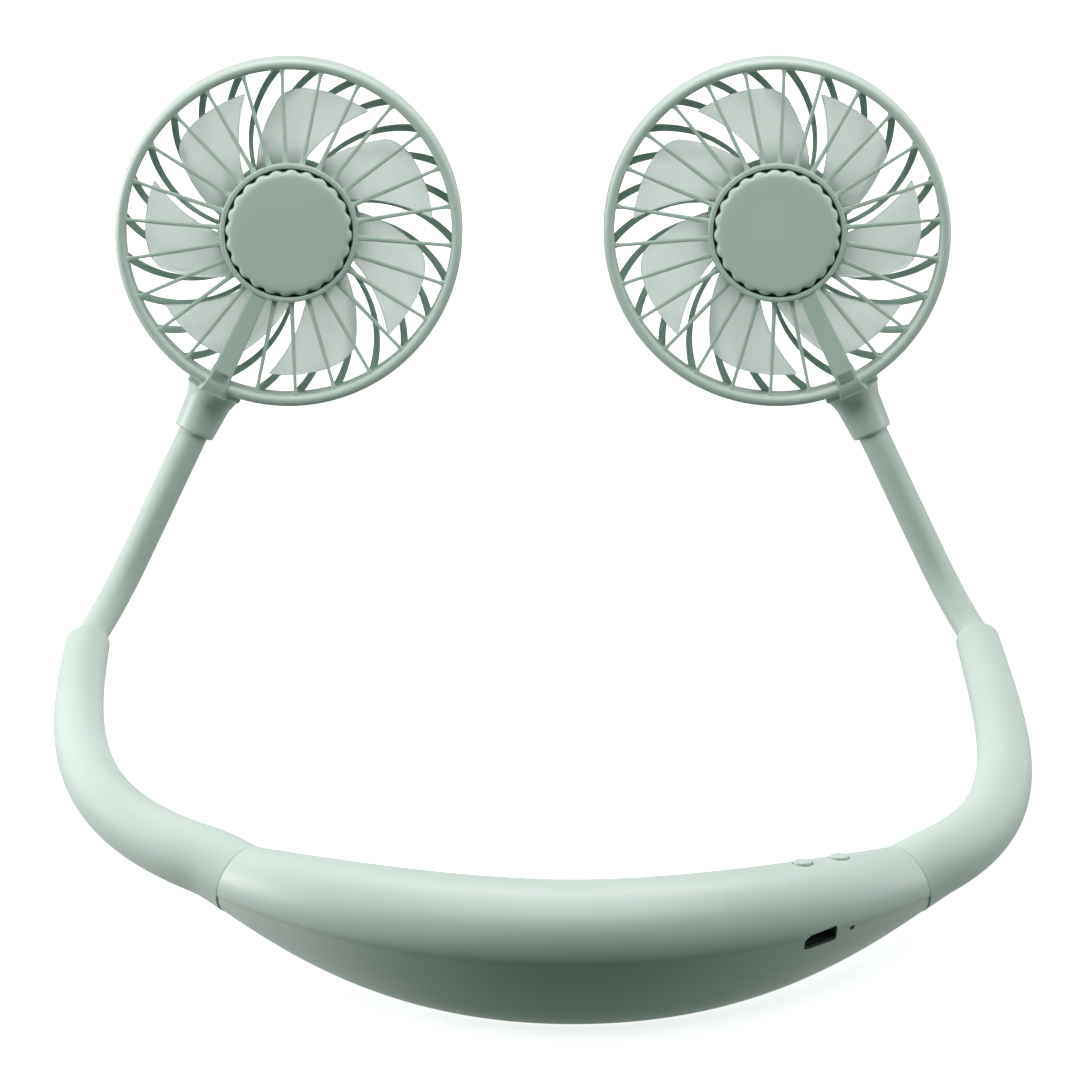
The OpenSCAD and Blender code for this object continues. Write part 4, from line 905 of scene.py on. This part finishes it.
def intake_cage():
    """Rim and cage face of the near guard, as two shapes."""
    rim = lathe(rim_outline(2.62, 1.35), 180, closed=True)
    face = lathe(rounded_box(HUB_RING_R - HUB_RING_WALL, PLATE_BOTTOM, HUB_RING_R, HUB_RING_TOP,
                             0.45, 5), 120, closed=True)
    hole_r, plate_r = 4, HUB_RING_R - HUB_RING_WALL / 2
    plate = lathe([(hole_r, PLATE_BOTTOM), (plate_r, PLATE_BOTTOM), (plate_r, PLATE_TOP),
                   (hole_r, PLATE_TOP)], 96, closed=True)
    start, end = HUB_RING_R - 0.5, RIM_IN + 0.8
    spoke = bmesh.new()
    feet = [(start, 1.5), (start + 0.8, 1.25), (start + 1.6, 1.02)]
    run = [(mix(start + 3, end - 3.2, k / 4), mix(0.95, 0.7, k / 4)) for k in range(5)]
    toes = [(end - 2.2, 0.74), (end - 1.4, 0.95), (end - 0.8, 1.3), (end, 1.7)]
    bar(spoke, [(turned(SPOKE_PITCH, "Z") @ lifted(x, SPOKE_TOP), wide)
                for x, wide in feet + run + toes],
        rounded_box(-SPOKE_W / 2, -SPOKE_DEPTH, SPOKE_W / 2, 0, 0.34))
    # The duct takes one spoke's place
    copied_round(spoke, SPOKES - 2, SPOKE_PITCH)
    duct = bmesh.new()
    bar(duct, [(lifted(mix(start, end - 0.2, k / 6), DUCT_TOP),
                mix(DUCT_HUB_W, DUCT_RIM_W, k / 6)) for k in range(7)],
        rounded_box(-0.5, DUCT_BOTTOM - DUCT_TOP, 0.5, 0, 0.15, 5))
    # The duct's roof bends down over the rim and meets the stem socket's saddle there
    roof = bmesh.new()
    over = [(lifted(end - 2.6, DUCT_TOP), DUCT_RIM_W - 0.05)]
    over += [(lifted(RIM_R + SADDLE_T - ROOF_BEND_R, DUCT_TOP - ROOF_BEND_R)
              @ turned(radians(15 * k), "Y") @ lifted(0, ROOF_BEND_R), DUCT_RIM_W + 0.25 * k)
             for k in range(7)]
    over.append((lifted(RIM_R + SADDLE_T, 5) @ turned(pi / 2, "Y"), DUCT_RIM_W + 2.2))
    bar(roof, over, rounded_box(-0.5, -ROOF_T, 0.5, 0, 0.13))
    foot = bmesh.new()
    bar(foot, [(lifted(x), 1) for x in (RIM_IN - 2.6, RIM_IN - 0.5, RIM_IN + 0.8)],
        rounded_box(-2.5, 0.3, 2.5, GUARD_DEPTH - 0.6, 0.5))
    return rim, merged(face, plate, spoke, duct, roof, foot)


print("spokes", SPOKES - 1, "and one duct")

# %% Far cage with swirl vanes
VANES, VANE_T, VANE_DEPTH, VANE_STEPS = 26, 1.2, 3.2, 16
VANE_HUB_R, VANE_HUB_T = 16.5, 1.2
VANE_SWEEP, VANE_START_TURN = radians(28), radians(15)
vane_start, vane_end = VANE_HUB_R - VANE_T / 2, RIM_IN + RIM_WALL / 3
chord = Vector((vane_end * cos(VANE_SWEEP) - vane_start, -vane_end * sin(VANE_SWEEP)))
vane_bend = 2 * (-atan2(chord.y, chord.x) - VANE_START_TURN)
vane_arc_r = chord.length / (2 * sin(vane_bend / 2))


def vane_section(share):
    """The place of a vane's section: on its arc, turned to face along it."""
    turn = vane_bend * share
    ahead = Vector((cos(-VANE_START_TURN), sin(-VANE_START_TURN)))
    right = Vector((sin(-VANE_START_TURN), -cos(-VANE_START_TURN)))
    at = Vector((vane_start, 0)) + vane_arc_r * (sin(turn) * ahead + (1 - cos(turn)) * right)
    return Matrix.Translation((at.x, at.y, -GUARD_DEPTH)) @ turned(-VANE_START_TURN - turn, "Z")


def outlet_cage():
    """Rim and vaned face of the far guard, as two shapes."""
    rim = lathe([(r, -z) for r, z in rim_outline(-2.4, 1.2)], 180, closed=True)
    floor, inner, top = -GUARD_DEPTH, VANE_HUB_R - VANE_T, VANE_DEPTH - GUARD_DEPTH
    face = lathe(rounded([
        (0, floor), (VANE_HUB_R, floor), (VANE_HUB_R, top), (inner, top),
        (inner, floor + VANE_HUB_T), (0, floor + VANE_HUB_T)], 0.4, open_ends=True), 120)
    vane = bmesh.new()
    # A vane thickens towards the rim
    bar(vane, [(vane_section(k / VANE_STEPS), mix(0.8, 1.5, (k / VANE_STEPS) ** 1.3))
               for k in range(VANE_STEPS + 1)],
        rounded_box(-VANE_T / 2, 0.25, VANE_T / 2, VANE_DEPTH - 0.25, 0.4, 3))
    copied_round(vane, VANES - 1, 2 * pi / VANES)
    return rim, merged(face, vane)


# Rims get a tone a hair lighter as painted light, near cages and vanes deeper tones as painted
# shade
for name, place in HEADS.items():
    for guard, (rim, face), finish, slot in (
            ("intake", intake_cage(), cage_abs_painted_shade, "guard"),
            ("outlet", outlet_cage(), vane_abs_painted_shade, "vane_guard")):
        for part, shape, plastic in (("rim", rim, rim_abs_painted_light), ("cage", face, finish)):
            dress(new_piece(f"{name}_{guard}_{part}", shape, place), name + "_head", plastic,
                  slot, f"{name}_{guard}_guard")

# %% [markdown]
# ## Motor cap
# The cap is a snapped-on disc with a flat top, a broad rolled edge and a wavy skirt: between
# twenty-four crests are slots to the ring round it, which let the motor's warm air out. It is
# spun as a plain disc first. Then its skirt is pushed in between the crests, and the push
# fades out over the roll.

# %% Motor cap
CAP_CRESTS, CAP_CREST_H, CAP_TOP = 24, 0.6, HUB_RING_TOP + 1
CAP_R = HUB_RING_R - HUB_RING_WALL - 0.2
CREST_R, CAP_ROLL_W, CAP_ROLL_H, SKIRT_T = 1.9, 1.9, 1.35, 2.2
CAP_UNDER = CAP_TOP - 1.6


def motor_cap():
    """The cap: a spun disc whose skirt is then pushed in between the crests."""
    flat_r = CAP_R - CAP_ROLL_W
    outline = [(0, CAP_TOP), (4, CAP_TOP), (8, CAP_TOP), (flat_r - 0.5, CAP_TOP)]
    outline += [(flat_r + CAP_ROLL_W * sin(a), CAP_TOP - CAP_ROLL_H * (1 - cos(a)))
                for a in angles(9, 1, 10)]
    outline += [(CAP_R, z) for z in (CAP_UNDER, 12, 11, 10, PLATE_TOP + 0.05)]
    outline += [(CAP_R - SKIRT_T, PLATE_TOP + 0.05), (CAP_R - SKIRT_T, CAP_UNDER),
                (0, CAP_UNDER)]
    bm = lathe(outline, CAP_CRESTS * 12)
    pitch = 2 * pi / CAP_CRESTS
    for vert in bm.verts:
        r = sqrt(vert.co.x ** 2 + vert.co.y ** 2)
        fade = min(1, max(0, (r - (CAP_R - 1.1)) / 0.9))
        if fade > 0:
            # Each crest is an arc of its own, and the hollows end at the plain skirt
            off = (atan2(vert.co.y, vert.co.x) / pitch) % 1 - 0.5
            sideways = (CAP_R - CREST_R) * sin(off * pitch)
            crest = ((CAP_R - CREST_R) * cos(off * pitch)
                     + sqrt(max(0, CREST_R ** 2 - sideways ** 2)))
            shrink = 1 - fade * (CAP_R - max(crest, CAP_R - CAP_CREST_H)) / r
            vert.co.x *= shrink
            vert.co.y *= shrink
    return bm


print("cap radius", round(CAP_R, 1), "with", CAP_CRESTS, "crests")

# %% [markdown]
# ## Impeller
# Seven broad blades grow from a cup that covers the motor. A blade is a curved sheet: its
# tip leads its root, its rear corner is drawn in, and it rises from the rear edge to the
# leading edge. One bent grid gets its thickness and a rounded edge and is copied round.

# %% Form of a blade
BLADES, BLADE_TIP_R, BLADE_T, BLADE_ROUND = 7, RIM_IN - 4.2, 1.0, 0.3
IMPELLER_HUB_R, HUB_WALL, SHAFT_R, SLEEVE_R, SLEEVE_FRONT = 14, 1.6, 0.75, 2.4, -5.2
MOTOR_LEN, BUSH_HALF = 10.5, 1.5
ROOT_RISE, TIP_RISE, BLADE_LEAD = 12, 9.6, radians(31)
ROOT_SPAN, TIP_SPAN_TURN, BLADE_REST = radians(40), radians(38), radians(16)
IMPELLER_TOP = PLATE_BOTTOM - 0.4 * RIM_WALL
IMPELLER_BOTTOM = PLATE_BOTTOM - MOTOR_LEN - BUSH_HALF - 2 * HUB_WALL
BLADE_MID_Z = mix(IMPELLER_BOTTOM, IMPELLER_TOP, 0.5)


def blade_point(out, across):
    """out runs from root to tip, across from the rear edge to the leading edge."""
    edge = 2 * across - 1
    tip_r = BLADE_TIP_R * (1 - 0.075 * (1 - across) ** 7)
    r = mix(IMPELLER_HUB_R - HUB_WALL / 2, tip_r, out)
    span = mix(ROOT_SPAN, TIP_SPAN_TURN, out)
    turn = BLADE_LEAD * out ** 0.78 + edge * span / 2
    rise = mix(ROOT_RISE, TIP_RISE, out) - BLADE_T
    arch = 0.12 * (1 - edge * edge)
    return Vector((r * cos(turn), -r * sin(turn), BLADE_MID_Z + rise * (edge / 2 + arch)))


print("blade rises", ROOT_RISE, "at its root and", TIP_RISE, "at its tip")

# %% Impellers and caps
def impeller(name, place):
    """The cup, and the blades copied round it with their real thickness."""
    blade = sheet(24, 24, blade_point)
    bmesh.ops.recalc_face_normals(blade, faces=blade.faces)
    bmesh.ops.solidify(blade, geom=list(blade.faces), thickness=BLADE_T)
    rim = [edge for edge in blade.edges
           if len(edge.link_faces) == 2 and edge.calc_face_angle(0) > radians(50)]
    bmesh.ops.bevel(blade, geom=rim, offset=BLADE_ROUND, segments=2, profile=0.5,
                    affect="EDGES", material=-1)
    copied_round(blade, BLADES - 1, 2 * pi / BLADES)
    inside, floor = IMPELLER_HUB_R - HUB_WALL, IMPELLER_BOTTOM + HUB_WALL
    cup = lathe(rounded([
        (SHAFT_R, IMPELLER_BOTTOM + 0.4), (SHAFT_R, SLEEVE_FRONT), (SLEEVE_R, SLEEVE_FRONT),
        (SLEEVE_R, floor), (inside, floor), (inside, IMPELLER_TOP),
        (IMPELLER_HUB_R, IMPELLER_TOP), (IMPELLER_HUB_R, IMPELLER_BOTTOM),
        (SHAFT_R, IMPELLER_BOTTOM)], 0.6, 4, open_ends=True), 96, closed=True)
    return new_piece(name, merged(cup, blade), place @ turned(BLADE_REST, "Z"))


# The caps' tone is a hair deeper as painted shade
for name, place in HEADS.items():
    dress(new_piece(name + "_cap", motor_cap(), place, sharp=50), name + "_head", cap_abs_painted_shade,
          "cap", name + "_motor_cap")
    dress(impeller(name + "_fan", place), name + "_rotor", blade_pp, "blade", name + "_impeller")

# %% [markdown]
# ## Stem sockets
# A socket is one moulding: a collar round the arm's end that flows into a saddle round the
# rim. Such a blend is hard to model by hand, so both simple forms are merged on a fine voxel
# grid and smoothed, which rounds the inner corners as a mould does. The rim's seat and the
# pin's bore are cut afterwards, so they stay true.

# %% Stem socket
STEM_R, STEM_END_R, SADDLE_SPAN, SADDLE_W = 5.0, 4.4, radians(18.5), 13
PIN_ROOM_R, PIN_BORE_R, PIN_BORE_LEN = 3.2, 2.05, 8
VOXEL, EVENING = 0.28, 14
# Smoothing draws a form in by about 0.3 mm, so the collar starts that much larger
SPARE = 0.32


def stem_socket(name, mirror):
    """The collar and the saddle as one moulding, with the rim's seat and the pin's bore cut."""
    out, half = RIM_R + SADDLE_T, SADDLE_W / 2
    collar = lathe(rounded([
        (0, RIM_R - 2.2), (STEM_R + 1.5, RIM_R - 2.2), (STEM_R + 1.1, out),
        (STEM_R + SPARE, out + 2.2), (STEM_END_R + SPARE, STEM_END + 0.12),
        (0, STEM_END + 0.12)], 0.5, 4, open_ends=True), 64)
    bmesh.ops.transform(collar, matrix=AT_STEM, verts=collar.verts)
    saddle = lathe(rounded_box(RIM_IN, -half, out, half, 1.0), 40, turn=SADDLE_SPAN, closed=True)
    bmesh.ops.transform(saddle, matrix=AT_DUCT @ turned(-SADDLE_SPAN / 2, "Z"),
                        verts=saddle.verts)
    piece = new_piece(name, merged(collar, saddle), mirror)
    modify(piece, "REMESH", mode="VOXEL", voxel_size=VOXEL * MM)
    modify(piece, "SMOOTH", factor=0.5, iterations=EVENING)
    seat = bmesh.new()
    rod_between(seat, -GUARD_DEPTH, GUARD_DEPTH, RIM_R + 0.05, mirror @ AT_DUCT, 240)
    cut_away(piece, seat)
    bore = bmesh.new()
    rod_between(bore, RIM_R - 1, STEM_END - PIN_BORE_LEN + 0.5, PIN_ROOM_R,
                mirror @ AT_STEM, 48)
    rod_between(bore, STEM_END - PIN_BORE_LEN, STEM_END + 1, PIN_BORE_R,
                mirror @ AT_STEM, 48)
    cut_away(piece, bore)
    crisp(piece, 40)
    return piece


# The sockets share the rims' tone, which is a hair lighter as painted light
for name, mirror in MIRRORS.items():
    dress(stem_socket(name + "_socket", mirror), name + "_head", rim_abs_painted_light, "shell",
          name + "_stem_socket")

# %% [markdown]
# ## Buttons and charging inlet
# A button is a small dome on a flange that keeps it in the shell, spun from one profile. The
# inlet is a blackened shell with one corner cut, so that a plug fits only one way round, with
# a tongue and its contacts inside. Shell and bezel are lofted from the mouth's own outline.

# %% Buttons
EDGE_R, SHOULDER, FLANGE_TOP, FLANGE_T = 0.35, 0.2, -2.6, 0.6
FLANGE_R = BUTTON_R + 0.5

for name, side in SIDES.items():
    dome = [(0, BUTTON_PROUD), (0.7, BUTTON_PROUD - 0.02), (1.3, BUTTON_PROUD - 0.09)]
    dome += [(BUTTON_R - EDGE_R + EDGE_R * sin(a),
              BUTTON_PROUD - SHOULDER - EDGE_R * (1 - cos(a))) for a in angles(15, 1, 6)]
    dome += [(BUTTON_R, FLANGE_TOP), (FLANGE_R, FLANGE_TOP), (FLANGE_R, FLANGE_TOP - FLANGE_T),
             (0, FLANGE_TOP - FLANGE_T)]
    place = AT_BUTTONS @ lifted(side * BUTTON_PITCH / 2)
    dress(new_piece(name + "_button_dome", lathe(dome, 64), place), name + "_button",
          satin_abs, "shell", name + "_fan_button")

# %% Charging inlet
SHEET, SOCKET_L, CONTACTS, CONTACT_PITCH = 0.3, 5.6, 5, 0.65
front = SOCKET_OUT + SOCKET_ROOM
back = front - SOCKET_L
outer, inner = inlet_outline(0, 0, 0.7, 0.45), inlet_outline(-SHEET, -SHEET, 0.55, 0.3)
mouth = bmesh.new()
loft(mouth, at_depths((outer, back), (outer, front), (inner, front), (inner, back + 2 * SHEET)))
# A soft black bezel fills the room between the socket and the edge of its cut-out
edge = inlet_outline(SOCKET_ROOM - 0.02, SOCKET_ROOM_H - 0.02, CUT_CORNER - 0.02,
                     CUT_ROUND - 0.02)
roll = inlet_outline(SOCKET_ROOM - 0.2, SOCKET_ROOM_H - 0.2, 1.4, 0.6)
mouth_roll = inlet_outline(0.12, 0.12, 0.9, 0.45)
mouth_edge = inlet_outline(0.02, 0.02, 0.72, 0.42)
face = SOCKET_OUT + WALL - 0.42
loft(mouth, at_depths((edge, front - 1.2), (edge, face - 0.15), (roll, face), (mouth_roll, face),
                      (mouth_edge, face - 0.1), (mouth_edge, front - 1.2)), closed=True)
tongue = bmesh.new()
board = rounded_box(-1.9, -0.35, 1.9, 0.35, 0.12, 3)
loft(tongue, at_depths((board, back + SHEET), (board, front - 0.9)))
for k in range(CONTACTS):
    at = Matrix.Translation(((k - CONTACTS // 2) * CONTACT_PITCH, 0.38, front - 2.4))
    bmesh.ops.create_cube(tongue, size=1, matrix=at @ Matrix.Diagonal((0.3, 0.08, 2.6, 1)))
inlet = new_piece("charging_inlet", merged(mouth, tongue), AT_INLET)
dress(inlet, "root", port_pbt, "port", "usb_socket")

# %% [markdown]
# ## Finishes of the kept CAD parts
# Motors, pins, screws, boards and the cell are already the right shape in the CAD. They keep
# their meshes and get a real finish each, named for the material that such a part is made of.

# %% Kept parts
KEPT = {
    "housing_screws": plated_steel, "battery_cell": cell_foil, "battery_pad": cell_foam,
    "main_board": board_mask, "button_board": board_mask, "button_switches": switch_steel,
    "charge_led": lens_pc,
}
OF_A_SIDE = {
    "core_root": silicone, "neck_core": silicone, "swivel_pin": plated_steel,
    "swivel_clip": plated_steel, "motor": motor_zinc, "motor_screws": plated_steel,
    "motor_lead": lead_pvc, "shaft_bush": sintered_bronze, "motor_shaft": plated_steel,
}
for side in SIDES:
    KEPT.update({f"{side}_{part}": finish for part, finish in OF_A_SIDE.items()})
for name, finish in KEPT.items():
    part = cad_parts[name]
    for held in part.material_slots:
        held.material = finish
    if not part.material_slots:
        part.data.materials.append(finish)
print("kept CAD parts", len(KEPT), "replaced", len(set(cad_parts) - set(KEPT)))

# %% [markdown]
# ## Floor and light
# The photograph is a product shot on white: broad soft light from above and from behind, and
# little from the front, so the housing's underside falls dark. A large floor takes the contact
# shadow. Two big soft boxes give the main light, and a weaker one on each side lifts the tubes.

# %% Stage
FLOOR_HALF, FLOOR_BELOW = 6, 0.3
floor_mesh = bpy.data.meshes.new("floor")
bm = bmesh.new()
bmesh.ops.create_grid(bm, x_segments=1, y_segments=1, size=FLOOR_HALF)
# It lies a little lower than the housing's keel, so the two faces never share a plane
bmesh.ops.translate(bm, verts=bm.verts, vec=(0, 0, -FLOOR_BELOW * MM))
bm.to_mesh(floor_mesh)
bm.free()
floor = linked("floor", floor_mesh)
paper, tree, place = blank("pale_paper")
fibres = add(tree, "TexNoise", {"Vector": place, "Scale": per_metre(60), "Detail": 4})
tones = tones_of(tree, fibres.outputs["Fac"], "#f2f3f2", "#f6f7f6")
shaded(tree, Base_Color=tones, Emission_Color=tones, Emission_Strength=0.8, Roughness=0.9)
floor.data.materials.append(paper)
print("floor of", round(floor.dimensions.x), "m")

# %% Lights
def soft_light(name, at, aim, width, height, power, tint="#ffffff"):
    """A soft box: an area light that points at a place."""
    data = bpy.data.lights.new(name, "AREA")
    data.shape = "RECTANGLE"
    data.size, data.size_y, data.energy = width, height, power
    data.color = colour(tint)[:3]
    aimed(name, data, at, Vector(aim) - Vector(at))


OVER, ASIDE = (0, 0.1, 0.03), (0, 0.08, 0.03)
soft_light("top_box", (0, 0.05, 1.2), OVER, 0.8, 0.6, 6.4, "#f8fffb")
soft_light("back_box", (0, 0.85, 0.95), OVER, 0.8, 0.5, 6.8, "#fff8fc")
soft_light("left_box", (-1.0, 0.2, 0.22), ASIDE, 0.5, 0.4, 5.8)
soft_light("right_box", (1.0, 0.2, 0.22), ASIDE, 0.5, 0.4, 2.3)
print("lights", len(bpy.data.lights))

# %% [markdown]
# The air is a faint green, as the mint part's own colour comes back from the set. Two white
# reflectors stand low behind both sides. The floor takes shadows but sends no light back up,
# as on a shoot where black cards keep the underside deep.

# %% Air
REFLECTORS = (((-0.72, 0.42, -0.55), 0.8), ((0.72, 0.42, -0.55), 0.65))
world = bpy.data.worlds.new("studio_air")
bpy.context.scene.world = world
world.use_nodes = True
tree = world.node_tree
way = add(tree, "TexCoord").outputs["Generated"]
light = colour("#3c5246")[:3]
for towards, strength in REFLECTORS:
    facing = add(tree, "VectorMath", {0: way, 1: Vector(towards).normalized()},
                 operation="DOT_PRODUCT")
    reflector = add(tree, "MapRange", {
        "Value": facing.outputs["Value"], "From Min": 0.4, "From Max": 1,
        "To Min": 0, "To Max": strength})
    light = add(tree, "VectorMath", {0: reflector.outputs["Result"], 1: light},
                operation="ADD").outputs["Vector"]
tree.links.new(light, tree.nodes["Background"].inputs["Color"])
floor.visible_diffuse = False
floor.visible_glossy = False
bpy.context.scene.view_settings.view_transform = "Standard"
print("reflectors", len(REFLECTORS))
